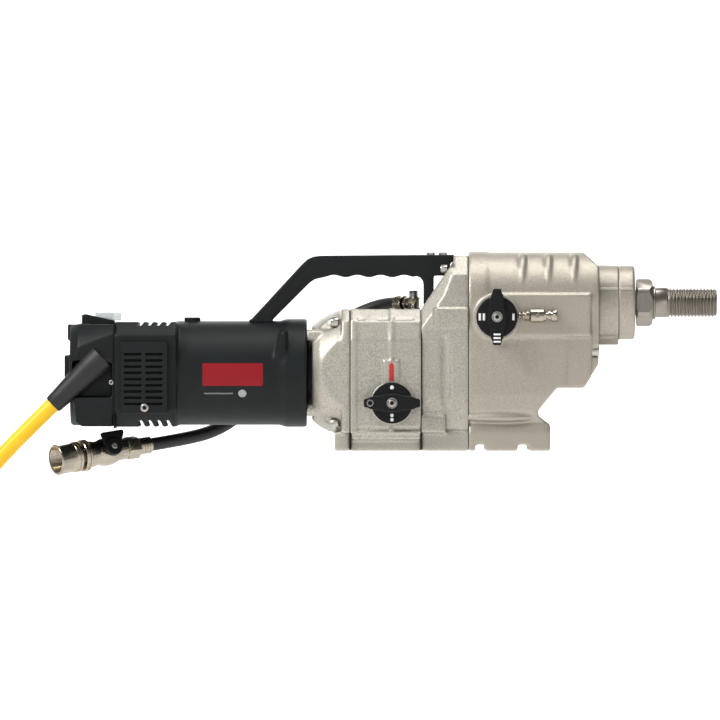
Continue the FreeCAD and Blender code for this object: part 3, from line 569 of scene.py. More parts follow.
def coil_points():
    """Six tied turns hanging side by side, two deep and three wide."""
    half = CORD_DIAMETER / 2 * 1.02
    lanes = [(-2, -1), (0, -1), (2, -1), (2, 1), (0, 1), (-2, 1)]
    points = []
    for turn in range(TURNS):
        across, depth = lanes[turn]
        following = lanes[min(turn + 1, TURNS - 1)]
        for step in range(TURN_POINTS):
            share = step / TURN_POINTS
            shift = max(0.0, (share - 0.7) / 0.3) if turn < TURNS - 1 else 0.0
            x = (across + (following[0] - across) * shift) * half
            radius = COIL_RADIUS + (depth + (following[1] - depth) * shift) * half
            angle = -2 * math.pi * share
            points.append(COIL_CENTRE + Vector((x, -radius * math.cos(angle), radius * math.sin(angle))))
    return points


def power_cord():
    turns = coil_points()
    route = [mm(*p) for p in CORD_ROUTE] + [COIL_TOP + Vector((-9 * MM, 0, 30 * MM)),
                                            COIL_TOP + mm(-16, 8, -40)]
    last = COIL_CENTRE + Vector((-16.6 * MM, -COIL_RADIUS - 7 * MM, 12 * MM))
    leave = [last, TAIL_END + mm(-6, -1, 52), TAIL_END + mm(0, 0, 22), TAIL_END]
    cord = nurbs("supply_cord", route + turns + leave, CORD_DIAMETER, YELLOW)
    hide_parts("power_cord", "power_cord_coil")
    return cord


def plug_body():
    top = high("power_plug").z
    ribs = [(0, 0), (0, 11.0)]
    for i in range(5):
        ribs += [(4 + 5 * i, 12.4), (6.4 + 5 * i, 14.6), (7.4 + 5 * i, 12.4)]
    profile = ribs + [(36, 15), (38, 20), (41, 23.4), (52, 23.8), (76, 23.8), (78, 21.4), (106.5, 21.2),
                      (108, 20.4), (108, 18.6), (84, 18.4), (84, 0)]
    mesh = lathe([(s * MM, r * MM) for s, r in profile], (TAIL_END.x, TAIL_END.y, top), (0, 0, -1))
    return finished(mesh, "supply_plug", BLACK, replaces=["power_plug"])


def cord_boot():
    """The tapered rubber sleeve that carries the cord out of the rear cap."""
    exit_point = mm(*CORD_ROUTE[0])
    heading = (mm(*CORD_ROUTE[1]) - exit_point).normalized()
    length = 64 * MM
    profile = [(-9, 0), (-9, 14.9), (4, 14.8), (9, 14.3), (30, 12.5), (52, 10.8), (62, 10.2), (64, 9.4),
               (64, 8.3), (56, 8.3), (56, 0)]
    mesh = lathe([(s * MM, r * MM) for s, r in profile], exit_point - heading * length, heading, steps=48)
    return finished(mesh, "cord_sleeve", BOOT_RUBBER, replaces=["cord_boot"])


def coil_tie():
    at = COIL_CENTRE + Vector((0, 0, COIL_RADIUS))
    outline = [(26.6, -18.6), (26.6, 18.6), (18, 26.2), (-18, 26.2), (-26.6, 18.6), (-26.6, -18.6),
               (-18, -26.2), (18, -26.2)]
    outer = [(at.x + x * MM, at.z + z * MM) for x, z in outline]
    inner = [(at.x + x * 0.955 * MM, at.z + z * 0.955 * MM) for x, z in outline]
    band = carved(slab(outer, at.y - 5 * MM, at.y + 5 * MM), slab(inner, at.y - 8 * MM, at.y + 8 * MM))
    return finished(band, "coil_tie", BLACK)


supply_cord = power_cord()
plug = plug_body()
sleeve = cord_boot()
tie = coil_tie()


# ------ castings

CAST_VOXEL = 1.3 * MM
SPINDLE_HEIGHT = 158.25
MOTOR_HEIGHT = 83.0
BARREL_RADIUS = 54.0
SIDES = (-1, 1)


def metres(points):
    return [(u * MM, v * MM) for u, v in points]


def turned(profile, origin=(0, 0, 0), axis=(1, 0, 0), **how):
    """A turned shape from stations and radii in millimetres."""
    return lathe(metres(profile), origin, axis, **how)


def plate(outline, near, far, plane="XZ"):
    """A flat outline given depth, all in millimetres."""
    return slab(metres(outline), near * MM, far * MM, plane)


def side_slab(outline, inner, outer, side):
    """A flat XZ outline in millimetres, given depth between two distances on one side of the middle plane."""
    near, far = sorted((side * inner, side * outer))
    return plate(outline, near, far)


def casting(name, node, additions=(), cuts=(), voxel=CAST_VOXEL, finish=CAST):
    """A CAD casting with its cast features added and every edge softened."""
    body = joined(copy_of(node), *additions)
    if cuts:
        body = joined(carved(joined(skinned(body, voxel, 1)), *cuts))
    mesh = skinned(body, voxel, 4, 0.5)
    return finished(mesh, name, finish, replaces=[node], angle=70)


def swelling(station, side, start, end, width, height):
    """A tear-shaped rib along the round barrel, from one angle to another in degrees above the horizon."""
    made = bmesh.new()
    rings = []
    stations, around = 18, 14
    for i in range(stations + 1):
        share = i / stations
        angle = math.radians(start + (end - start) * share)
        fullness = math.sqrt(max(0.0, math.sin(math.pi * min(1.0, share ** 1.25)))) * (0.45 + 0.55 * share)
        ring = []
        for j in range(around):
            a = 2 * math.pi * j / around
            x = station + width * fullness * math.cos(a) + 0.02 * math.cos(a)
            r = BARREL_RADIUS - 1.0 + (height + 1.0) * fullness * math.sin(a)
            ring.append(made.verts.new(mm(x, side * r * math.cos(angle),
                                          SPINDLE_HEIGHT + r * math.sin(angle))))
        rings.append(ring)
    return lofted(made, rings)


def head():
    ribs = [swelling(station, side, 15, 76, 6.0, 4.6) for station in (85.5, 113.0, 140.5) for side in SIDES]
    band = turned([(28.2, 0), (28.2, 54.9), (46, 54.9), (49, 54.4), (51.5, 53.4), (51.5, 0)],
                  mm(0, 0, SPINDLE_HEIGHT), steps=96)
    rolls = [ball(mm(60, side * 47.5, 35.5), (38 * MM, 6.4 * MM, 4.6 * MM)) for side in SIDES]
    plugs = [turned([(-9, 0), (-9, 8.4), (0.8, 8.4), (1.6, 7.6), (1.6, 0)], mm(158, side * 37, 107))
             for side in SIDES]
    slots = [block(mm(start, -70, -2), mm(start + 10.3, 70, 6.5)) for start in (35.2, 80.6)]
    return casting("head_housing", "head_case", [band, *ribs, *rolls, *plugs], slots, finish=FINE_CAST)


def shoulder_plane(side):
    """The big oblique facet that slopes off the middle casting's shoulder."""
    corners = [(-24, 57.5, 122), (14.5, 57.5, 178), (14.5, 35, 212), (-24, 35, 156)]
    outward = Vector((-0.35, side * 0.75, 0.55)).normalized() * 40
    made = bmesh.new()
    first = [made.verts.new(mm(x, side * y, z)) for x, y, z in corners]
    second = [made.verts.new(v.co + outward * MM) for v in first]
    made.faces.new(first)
    made.faces.new(list(reversed(second)))
    for i in range(4):
        j = (i + 1) % 4
        made.faces.new((first[i], second[i], second[j], first[j]))
    return made


def centre():
    """The middle casting: shoulder facets, a hollow upright channel, a step and a plate pad on each side."""
    channels = [turned([(40, 0), (40, 5.5), (46, 7.5), (112, 7.5), (124, 3.0), (124, 0)],
                       mm(3.4, side * 58.5, 0), (0, 0, 1)) for side in SIDES]
    pads = [block(mm(-8.4, side * 50, 133.6), mm(27.6, side * 57.2, 151.8)) for side in SIDES]
    steps = [block(mm(-22.3, side * 45, 19.5), mm(3.5, side * 58.3, 33.6)) for side in SIDES]
    body = joined(carved(joined(skinned(copy_of("centre_case"), CAST_VOXEL, 1)), *channels,
                         *[shoulder_plane(side) for side in SIDES]), *pads, *steps)
    mesh = skinned(body, CAST_VOXEL, 4, 0.5)
    return finished(mesh, "middle_housing", CAST, replaces=["centre_case"], angle=70)


def girdle(start, end, proud):
    """A narrow raised band around the upper body of the low casting."""
    half, top = 58 + proud, 151 + proud
    outline = [(-half, 19), (-half, 118), (-50, 138 + proud), (-34, top), (34, top), (50, 138 + proud),
               (half, 118), (half, 19)]
    return plate(outline, start, end, "YZ")


def lower():
    pointer_pad = [(-61.8, 70), (-61.8, 89), (-59.5, 94), (-54.4, 97.5), (-49.3, 94), (-47, 89), (-47, 70)]
    pads = [side_slab(pointer_pad, 50, 60.2, side) for side in SIDES]
    lips = [block(mm(-97.6, side * 50, 18.6), mm(-22.8, side * 58.5, 20.8)) for side in SIDES]
    shoulder = [(33, 149.5), (33, 143), (45, 134), (53, 115), (56.8, 118), (49.5, 137.6)]
    backing = []
    for side in SIDES:
        backing.append(plate([(side * y, z) for y, z in shoulder], -97.4, -23.0, "YZ"))
        backing.append(block(mm(-97.4, side * 44, 12), mm(-23, side * 57, 32)))
    bands = [girdle(-55.8, -52.4, 0.9), girdle(-97.7, -91.5, 0.7)]
    return casting("lower_housing", "lower_case", [*bands, *pads, *lips, *backing])


def adapter():
    flange = girdle(-107.5, -98.3, 0.2)
    motor_plate = turned([(-140.8, 0), (-140.8, 36), (-137, 36), (-137, 0)], mm(0, 0, 77), steps=72)
    cuts = []
    for side in SIDES:
        for height, slope in ((137.5, 0.62), (29.5, -0.72)):
            tilt = Matrix.Rotation(-slope, 4, "Y")
            centre_point = mm(-121, side * 47, height)
            cuts.append(ball(centre_point, (12.5 * MM, 19 * MM, 5.6 * MM), tilt))
    return casting("motor_adapter", "adapter_casting", [flange, motor_plate], cuts)


def nose():
    ledges = [block(mm(start, side * 30, SPINDLE_HEIGHT + 13.4), mm(end, side * 38.3, SPINDLE_HEIGHT + 15.8))
              for side in SIDES for start, end in ((167.6, 188.2), (189.0, 203.6))]
    casting("nose_housing", "nose_casting", voxel=1.0 * MM, finish=FINE_CAST)
    casting("nose_cap", "seal_cap", voxel=0.9 * MM, finish=FINE_CAST)
    rails = joined(*[rounded(ledge, 0.9 * MM) for ledge in ledges])
    finished(rails, "nose_rails", FINE_CAST)


head()
centre()
lower()
adapter()
nose()


# ------ joints between the castings

def gasket(name, station):
    """A thin dark joint line: flush in the foot, and set back from the rounded walls above it."""
    outline = [(-57.9, 0.6), (-57.9, 19), (-56.6, 20), (-56.6, 117), (-49.2, 136.4), (-33.6, 149.6)]
    outline += [(-y, z) for y, z in reversed(outline)]
    finished(plate(outline, station - 0.3, station + 0.3, "YZ"), name, DARK,
             smooth=False)


gasket("gasket_motor_side", -98.0)
gasket("gasket_middle", -22.5)


# ------ screws on the castings

SOCKET_SHARE = 0.56
SOCKET_START = 0.45


def hexagon_socket(centre_point, axis, radius, height):
    """A socket-head screw with a real hexagonal recess."""
    head_mesh = joined(socket_head(centre_point, axis, radius, height))
    key = radius * SOCKET_SHARE
    out = Vector(axis).normalized()
    tool = lathe([(0, 0), (0, key), (height, key), (height, 0)], centre_point + out * height * SOCKET_START,
                 axis, steps=6)
    return carved(head_mesh, tool)


def socket_shade_plug(centre_point, axis, radius, height):
    """A dark plug at the bottom of a screw's recess: painted shade."""
    key = radius * SOCKET_SHARE * 0.97
    start = centre_point + Vector(axis).normalized() * height * SOCKET_START
    return lathe([(-0.1 * MM, 0), (-0.1 * MM, key), (0.12 * MM, key), (0.12 * MM, 0)], start, axis, steps=6)


def socket_screws(name, sizes, replaced=(), body=HOUSING, extra=()):
    """Screws of one kind as one piece, and the painted shade in their recesses as another."""
    heads = [hexagon_socket(*each) for each in sizes]
    finished(joined(*heads, *extra), name, SCREW_STEEL, body=body, replaces=replaced)
    # Dark plugs at the bottom of the recesses: painted shade.
    finished(joined(*[socket_shade_plug(*each) for each in sizes]), name + "_recess_shade", DARK, body=body,
             smooth=False)


def case_screws():
    sizes = []
    for side in SIDES:
        sizes.append((mm(5.2, side * 31, 194), (-1, 0, 0), 4.4 * MM, 6.8 * MM))
        sizes.append((mm(159.5, side * 37, 107), (1, 0, 0), 6.0 * MM, 8.0 * MM))
        for height in (137, 29):
            sizes.append((mm(-111, side * 38, height), (-1, 0, 0), 6.0 * MM, 8.0 * MM))
    socket_screws("cap_screws", sizes, ["case_screws"])


def button_screws():
    sizes = [(mm(x, 0, 209.4), (0, 0, 1), 4.5 * MM, 2.5 * MM) for x in (-12.0, 1.0)]
    for side in SIDES:
        sizes.append((mm(-317, side * 62.6, 46), (0, side, 0), 4.3 * MM, 1.9 * MM))
    socket_screws("button_screws", sizes, ["button_head_screws"])


case_screws()
button_screws()


# ------ motor

def leaning_slot(x, z, lean):
    """A cut through the housing's width, leaning along it."""
    return plate([(x - 2.5 - lean, z - 4.4), (x + 2.1 - lean, z - 4.4), (x + 2.5 + lean, z + 4.4),
                  (x - 2.1 + lean, z + 4.4)], -70, 70)


def motor_body():
    """The motor's moulded shell: a ribbed barrel, a front collar, the air box and its slots."""
    at = mm(0, 0, MOTOR_HEIGHT)
    wedges = [side_slab([(-181, 92), (-172, 126), (-166, 129), (-166, 92)], 34, 54.4, side) for side in SIDES]
    slot_rows = [(137.6, 2.2), (28.4, -2.2)]
    cuts = [leaning_slot(-320.5 + 9.6 * i, height, lean) for i in range(4) for height, lean in slot_rows]
    hollows = []
    for side in SIDES:
        hollows.append(ball(mm(-276, side * 62, 118), (7.5 * MM, 10 * MM, 22 * MM),
                            Matrix.Rotation(0.2, 4, "Y")))
    rear, front = low("cooling_fan"), high("cooling_fan")
    reach, gap = (front.z - rear.z) / 2, 1.6 * MM
    fan_outline = [(rear.x - gap, 0), (rear.x - gap, reach + gap),
                   (front.x + gap, reach + gap), (front.x + gap, 0)]
    fan_room = lathe(fan_outline, at, steps=72)
    whole = joined(skinned(joined(copy_of("motor_housing"), *wedges), 1.25 * MM, 1))
    mesh = skinned(joined(carved(whole, *cuts, *hollows, fan_room)), 1.2 * MM, 4, 0.5)
    finished(mesh, "motor_shell", BLACK, replaces=["motor_housing"], angle=70)
    seam_ring = tube_ring(metres([(-169.4, 54.0), (-169.4, 56.0), (-168.2, 56.0), (-168.2, 54.0)]), origin=at)
    finished(seam_ring, "collar_groove", DARK)


def rear_cap():
    """The switch end: a horn at the top, a stepped panel and the block the cord leaves."""
    horn = plate([(-400, 124), (-396.5, 131), (-390, 135.2), (-381, 136.8), (-376, 136.8), (-376, 120),
                  (-391, 121), (-394, 124)], -17, 17)
    shelf = plate([(-394.5, 76), (-391, 88), (-385, 93.6), (-376, 96), (-351, 96), (-351, 93.4), (-377, 93.4),
                   (-384, 90.6), (-388.5, 84), (-391, 76)], -57.4, -48)
    sill = plate([(-390, 31), (-393, 57), (-351, 57), (-351, 26), (-384, 26)], -56.8, -40)
    mesh = skinned(joined(copy_of("motor_rear_cap"), horn, shelf, sill), 1.15 * MM, 3, 0.55)
    finished(mesh, "rear_cap", BLACK, replaces=["motor_rear_cap"], angle=70)
    socket_screws("rear_cap_screw", [(mm(-352.6, -56.6, 73), (0, -1, 0), 2.4 * MM, 1.2 * MM)])
    finished(plate([(-350.1, 24), (-350.1, 135), (-349.1, 135), (-349.1, 24)], -56.3, 56.3),
             "rear_cap_joint", DARK, smooth=False)


def vent_covers():
    """Two louvred covers, with dark plates behind them as painted shade of the hollow, and a fan's edge
    behind the slots.
    """
    mesh = skinned(copy_of("side_vent_covers"), 0.62 * MM, 2, 0.45)
    finished(mesh, "vent_covers", BLACK, replaces=["side_vent_covers"], angle=60)
    # Dark plates behind the covers: painted shade of the hollow.
    shade_plates = [block(mm(-340, side * 58.1, 43), mm(-295, side * 58.7, 113)) for side in SIDES]
    finished(joined(*shade_plates), "vent_hollow_shade", DARK, smooth=False)


def on_barrel(name, x0, x1, z0, z1, material, lift, corner=0.0):
    """A thin label that follows the round barrel."""
    made = bmesh.new()
    rows = 16
    grid = []
    for i in range(rows + 1):
        z = z0 + (z1 - z0) * i / rows
        reach = math.sqrt((55.6 + lift) ** 2 - (z - MOTOR_HEIGHT) ** 2)
        inset = corner if i in (0, rows) else 0.0
        grid.append([made.verts.new(mm(x, -reach, z)) for x in (x0 + inset, x1 - inset)])
    for first, second in zip(grid, grid[1:]):
        made.faces.new((first[0], first[1], second[1], second[0]))
    bmesh.ops.solidify(made, geom=made.faces[:], thickness=0.3 * MM)
    finished(made, name, material)


def labels():
    on_barrel("red_label", -255.5, -191.0, 69.2, 93.4, RED, 0.4, 0.8)
    on_barrel("label_rule", -254.0, -223.0, 60.4, 61.9, GREY_MARK, 0.4)
    dot_mesh = turned([(0, 0), (0, 4.4), (0.5, 4.2), (0.5, 0)], mm(-213.0, -51.6, 61.2), (0, -0.92, -0.39))
    finished(dot_mesh, "label_dot", GREY_MARK)


def brush_cap():
    base = MOTOR_HEIGHT + 55.0
    profile = [(-2, 0), (-2, 8.4), (3.4, 8.4), (4.4, 7.7), (4.4, 0)]
    mesh = turned(profile, mm(-267, 0, base), (0, 0, 1), steps=80,
                  ripple=lambda s, a: 0.25 * MM * math.cos(20 * a) if s < 3.5 * MM else 0.0)
    slot_cut = block(mm(-274, -1.1, base + 3.4), mm(-260, 1.1, base + 6))
    finished(carved(mesh, slot_cut), "brush_cap", KNOB_BLACK, replaces=["brush_access_cap"])


def switch():
    guard = skinned(copy_of("switch_guard"), 0.55 * MM, 2, 0.5)
    finished(guard, "guard", BLACK, replaces=["switch_guard"], angle=50)
    cover = rounded(copy_of("switch_splash_cover"), 0.6 * MM, 2)
    finished(cover, "splash_cover", CLEAR, replaces=["switch_splash_cover"])


motor_body()
rear_cap()
vent_covers()
labels()
brush_cap()
switch()


# ------ handle

GRIP_TOP = 209.4
GRIP_UNDER = 186.0
FINGER_WAVES = 4.0


def handle():
    """The arched carrying handle, one moulding with finger waves under the grip."""
    half = 13.3
    outline = [(-205.6, 138.5), (-203, 141.5), (-150.5, 198.5), (-144, 204.6), (-137, 207.6), (-128, 208.4),
               (-60, 209.0), (13.2, GRIP_TOP), (13.2, 203.6), (8.6, 199.4), (-8.8, 199.4), (-8.8, 169),
               (-19.8, 154), (-19.8, 178), (-20.8, 182.2), (-24, 185.6), (-28, 186.8)]
    steps = 44
    for i in range(1, steps):
        share = i / steps
        outline.append((-28 - 100 * share,
                        GRIP_UNDER - 1.3 * math.cos(2 * math.pi * FINGER_WAVES * share) + 0.6))
    outline += [(-130, 184.6), (-136, 183.2), (-141.5, 179.5), (-182.5, 138.5)]
    body = rounded(plate(outline, -half, half), 4.6 * MM, 4, 40)
    foot = block(mm(-206, -half - 0.2, 136.5), mm(-181, half + 0.2, 140.4))
    cheek = block(mm(-19.8, -half, 187), mm(8.6, half, GRIP_TOP - 0.2))
    mesh = skinned(joined(body, foot, rounded(cheek, 1.2 * MM)), 1.0 * MM, 6, 0.6)
    finished(mesh, "grip", BLACK, replaces=["carrying_handle"], angle=70)


handle()


# ------ selector knobs

KNOB_FACE = 69.5
WING_FACE = 78.4


def knob(name, node, body, station, height, turn):
    """A disc with a long tapered wing across it; the wing points up before the turn."""
    rim = [(60.3, 0), (60.3, 21.4), (61.2, 22), (68.4, 22), (69.4, 21.2), (KNOB_FACE, 15), (KNOB_FACE, 0)]
    disc = turned(rim, axis=(0, -1, 0), steps=96)
    flank = [(9.4, 6), (8.0, 11), (7.4, 15), (7.2, 19), (6.4, 23), (4.9, 26), (4.6, 29), (3.4, 30), (0, 30)]
    right = [(x, -z) for x, z in reversed(flank)] + flank
    outline = right + [(-x, -z) for x, z in right]
    unique = list(dict.fromkeys(outline))
    wing = rounded(plate(unique, -67.0, -WING_FACE), 1.3 * MM, 3, 40)
    whole = scratch(skinned(joined(disc, wing), 0.5 * MM, 3, 0.5))
    whole.data.transform(Matrix.Translation(mm(station, 0, height)) @ Matrix.Rotation(turn, 4, "Y"))
    return finished(discard(whole), name, KNOB_BLACK, body=body, replaces=[node], angle=60)


def bar_mark(name, body, centre_point, wide, tall, depth):
    """A small raised painted bar on a knob."""
    x, z = centre_point
    bar = block(mm(x - wide / 2, -depth + 0.3, z - tall / 2), mm(x + wide / 2, -depth - 0.35, z + tall / 2))
    finished(rounded(bar, 0.15 * MM, 2), name, WHITE, body=body)


def dot_mark(name, body, centre_point, radius, depth):
    x, z = centre_point
    mesh = turned([(-0.3, 0), (-0.3, radius), (0.3, radius), (0.45, radius * 0.85), (0.45, 0)],
                  mm(x, -depth, z), (0, -1, 0), steps=28)
    finished(mesh, name, WHITE, body=body)


def knob_screw(name, node, body, station, height):
    collar = tube_ring(metres([(0, 4.4), (0.9, 4.8), (0.9, 5.6), (0, 6.0)]),
                       origin=mm(station, -WING_FACE + 0.3, height), axis=(0, -1, 0), steps=48)
    seat = mm(station, -WING_FACE + 0.4, height)
    socket_screws(name, [(seat, (0, -1, 0), 4.2 * MM, 1.8 * MM)], [node], body, [collar])


def knob_seat(name, station, height, radius, depth):
    """The machined ring that a selector turns on."""
    profile = [(-4, 0), (-4, radius), (1.4, radius), (2.2, radius - 0.8), (2.2, 0)]
    finished(turned(profile, mm(station, -depth, height), (0, -1, 0), steps=96), name, CAST, angle=40)


def upper_selector():
    body, station, height = "upper_selector", 58.0, 142.6
    knob_seat("upper_seat", station, height, 25.0, 57.4)
    knob("upper_knob", "upper_selector_knob", body, station, height, 0.0)
    knob_screw("upper_knob_screw", "upper_selector_screw", body, station, height)
    for i in range(2):
        bar_mark(f"upper_two_{i}", body, (station - 18.3 + 4.4 * i, height), 2.5, 7.6, KNOB_FACE)
    bar_mark("upper_one", body, (station + 17.4, height), 2.5, 7.2, KNOB_FACE)
    for i in range(3):
        bar_mark(f"upper_three_{i}", body, (station, height - 18.6 - 3.9 * i), 7.6, 1.9, WING_FACE)


def lower_selector():
    body, station, height = "lower_selector", -53.7, 51.0
    knob_seat("lower_seat", station, height, 22.6, 57.6)
    knob("lower_knob", "lower_selector_knob", body, station, height, math.pi / 2)
    knob_screw("lower_knob_screw", "lower_selector_screw", body, station, height)
    dot_mark("lower_dot", body, (station, height + 16.6), 2.1, KNOB_FACE)
    dot_mark("lower_pair_a", body, (station, height - 13.0), 1.9, KNOB_FACE)
    dot_mark("lower_pair_b", body, (station, height - 17.6), 1.9, KNOB_FACE)
    eye = tube_ring(metres([(0, 2.4), (0.9, 2.6), (0.9, 3.5), (0, 3.9)]),
                    origin=mm(station - 23.2, -WING_FACE + 0.1, height), axis=(0, -1, 0), steps=40)
    finished(eye, "lower_eyelet", SCREW_STEEL, body=body)
    pointer = plate([(-56.7, 74.5), (-56.7, 91.5), (-54.2, 94.6), (-51.7, 91.5), (-51.7, 74.5)],
                    -59.9, -60.7)
    finished(rounded(pointer, 0.25 * MM, 2), "red_pointer", RED_LINE)


upper_selector()
lower_selector()


# ------ index plunger

def plunger():
    at = mm(0, -65.5, 144.0)
    shell = [(92.7, 0), (92.7, 6.2), (94.2, 7.5), (107.4, 7.5), (108.4, 6.6), (110.1, 6.2), (110.1, 0)]
    saddle = block(mm(94, -64, 137.4), mm(108.8, -56.8, 150.6))
    eye = turned([(0, 0), (0, 2.2), (3, 2.2), (3, 0)], mm(101.3, -72.0, 144.0), (0, -1, 0), steps=32)
    body = carved(skin_free(turned(shell, at, steps=56), rounded(saddle, 1.2 * MM)), eye)
    finished(body, "plunger_barrel", NICKEL, replaces=["plunger_sleeve"])
    rod = [(81, 0), (81, 3.0), (81.6, 3.7), (82.6, 3.7), (83.1, 3.1), (83.9, 3.7), (84.7, 3.1), (85.5, 3.7),
           (86.6, 3.7), (86.8, 3.45), (112.4, 3.45), (112.6, 5.2), (114.8, 5.2), (115.0, 4.4), (115.7, 4.4),
           (115.9, 6.2), (116.7, 6.75), (121.2, 6.75), (122.2, 6.0), (122.3, 0)]
    finished(turned(rod, at, steps=48), "plunger_rod", NICKEL, body="lock_plunger",
             replaces=["plunger_pin"])
    lock_nut = prism(87.2, 92.5, 5.0 / math.cos(math.pi / 6), at)
    finished(rounded(lock_nut, 0.35 * MM, 2), "plunger_nut", NICKEL)


def skin_free(first, second):
    """Two closed shapes merged into one."""
    return joined(discard(combined(scratch(joined(first)), scratch(joined(second)), "UNION")))


def prism(start, end, corner, origin, axis=(1, 0, 0), bore=0.0, turn=math.pi / 6):
    """A hexagonal prism along an axis."""
    made = turned([(start, 0), (start, corner), (end, corner), (end, 0)], steps=6)
    made.transform(Matrix.Translation(Vector(origin)) @ turning(axis) @ Matrix.Rotation(turn, 4, "X"))
    if bore:
        hole = turned([(start - 1, 0), (start - 1, bore), (end + 1, bore), (end + 1, 0)], origin, axis)
        return joined(carved(made, hole))
    return made


plunger()


# ------ drill spindle

THREAD_PITCH = 3.63
THREAD_DEPTH = 2.1
THREAD_RADIUS = 15.875
WATER_BORE = 5.0


def climbing_thread(start, end):
    """The right-hand thread: a ridge climbing one pitch a turn, with a chamfered tip and a water bore."""
    around, per_pitch = 96, 12
    count = int((end - start) / THREAD_PITCH * per_pitch)
    made = bmesh.new()
    rows = []
    for i in range(count + 1):
        x = start + (end - start) * i / count
        run_in = min(1.0, (x - start) / 2.5)
        row = []
        for j in range(around):
            angle = 2 * math.pi * j / around
            phase = (x / THREAD_PITCH + angle / (2 * math.pi)) % 1.0
            groove = min(1.0, max(0.0, (abs(phase - 0.5) * 2 - 0.14) / 0.72))
            radius = min(THREAD_RADIUS - THREAD_DEPTH * groove * run_in,
                         THREAD_RADIUS - 1.1 * (x - end + 2.4))
            row.append(made.verts.new(mm(x, radius * math.cos(angle),
                                         SPINDLE_HEIGHT + radius * math.sin(angle))))
        rows.append(row)
    for x in (end, end - 34):
        rows.append([made.verts.new(mm(x, WATER_BORE * math.cos(2 * math.pi * j / around),
                                       SPINDLE_HEIGHT + WATER_BORE * math.sin(2 * math.pi * j / around)))
                     for j in range(around)])
    return lofted(made, rows)


def drill_spindle():
    at = mm(0, 0, SPINDLE_HEIGHT)
    low_x, high_x = low("spindle").x / MM, high("spindle").x / MM
    shaft = [(low_x + 0.3, 0), (low_x + 0.3, 11), (200, 11), (207.8, 14), (225.0, 14), (225.2, 17.6),
             (225.8, 18.0), (227.6, 18.0), (228.2, 17.2), (228.4, 16.0), (229.2, 15.85), (240.2, 15.85),
             (242.4, 13.9), (242.4, 0)]
    body = joined(turned(shaft, at, steps=96), climbing_thread(240.4, high_x - 0.05))
    finished(body, "threaded_spindle", STEEL, body="spindle_group", replaces=["spindle"], angle=50)
    blank = scratch(prism(207.7, 225.1, 23 / math.cos(math.pi / 6), at))
    chamfers = [(207, 0), (207, 23.2), (209.2, 25.3), (221.6, 25.3), (225.6, 22.6), (225.6, 0)]
    combined(blank, scratch(turned(chamfers, at)), "INTERSECT")
    finished(discard(blank), "spindle_hexagon", STEEL, body="spindle_group", angle=25)


drill_spindle()


# ------ water hose and fittings

HOSE_DIAMETER = 14 * MM
HOSE_ROUTE = [
    (-42.9, 41.7, 157.6), (-56.4, 57.8, 157.6), (-74, 71, 153.5), (-98, 79.5, 143), (-124, 82, 130),
    (-148, 80, 115), (-170, 76, 95), (-192, 72, 61), (-216, 65, 38), (-244, 51, 20),
    (-278.4, 34.4, 11.5), (-313.5, 14, 5.9)]


def local_frame(origin, heading):
    """A frame whose X runs along a heading and whose Z stays as upright as it can."""
    x = Vector(heading).normalized()
    z = (Vector((0, 0, 1)) - x * x.z).normalized()
    y = z.cross(x)
    rotation = Matrix((x, y, z)).transposed().to_4x4()
    return Matrix.Translation(Vector(origin)) @ rotation


FITTING = local_frame(mm(-30.2, 26.5, 157.6), (math.cos(math.radians(130)), math.sin(math.radians(130)), 0))
VALVE_ROLL = math.radians(18)
VALVE = (local_frame(mm(*HOSE_ROUTE[-1]), mm(*HOSE_ROUTE[-1]) - mm(*HOSE_ROUTE[-2]))
         @ Matrix.Rotation(VALVE_ROLL, 4, "X"))
STEM = 54


def placed(shape, matrix):
    made = joined(shape)
    made.transform(matrix)
    return made


def crimped_ferrule(start, end, outer, bore, collar):
    """A crimped sleeve on a hose end, with its rolled collar."""
    length = end - start
    outside = [(start, bore), (start, outer - 0.8), (start + 0.8, outer)]
    for i in range(3):
        x = start + length * (0.22 + 0.2 * i)
        outside += [(x, outer), (x + 0.5, outer - 0.7), (x + 1.3, outer - 0.7), (x + 1.8, outer)]
    outside += [(end - 2.4, outer), (end - 1.8, collar), (end - 0.4, collar), (end, collar - 0.5),
                (end, bore)]
    return tube_ring(metres(outside), steps=48)


def hose():
    line = nurbs("water_line", [mm(*p) for p in HOSE_ROUTE], HOSE_DIAMETER, HOSE_RUBBER,
                 steps=14)
    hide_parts("water_hose")
    return line


def top_fitting():
    ferrule = placed(crimped_ferrule(15.0, 26.6, 8.2, 6.9, 8.3), FITTING)
    arm = turned([(0, 0), (0, 5.2), (8, 5.2), (8, 6.1), (9, 6.2), (11.8, 6.2), (12.4, 5.4), (15.4, 5.4),
                  (15.4, 0)], steps=40)
    banjo = turned([(-6.5, 0), (-6.5, 6.9), (-5.4, 7.0), (-3.4, 6.0), (3.6, 6.0), (5.2, 7.0), (6.3, 6.9),
                    (6.3, 0)],
                   axis=(0, 0, 1), steps=40)
    return ferrule, placed(skin_free(arm, banjo), FITTING)


def fitting_bolt():
    head_shape = prism(6.5, 13.7, 5.0, (0, 0, 0), (0, 0, 1))
    washer = turned([(6.3, 0), (6.3, 5.0), (7.3, 5.0), (7.3, 0)], axis=(0, 0, 1), steps=40)
    return placed(joined(rounded(head_shape, 0.5 * MM, 2), washer), FITTING)


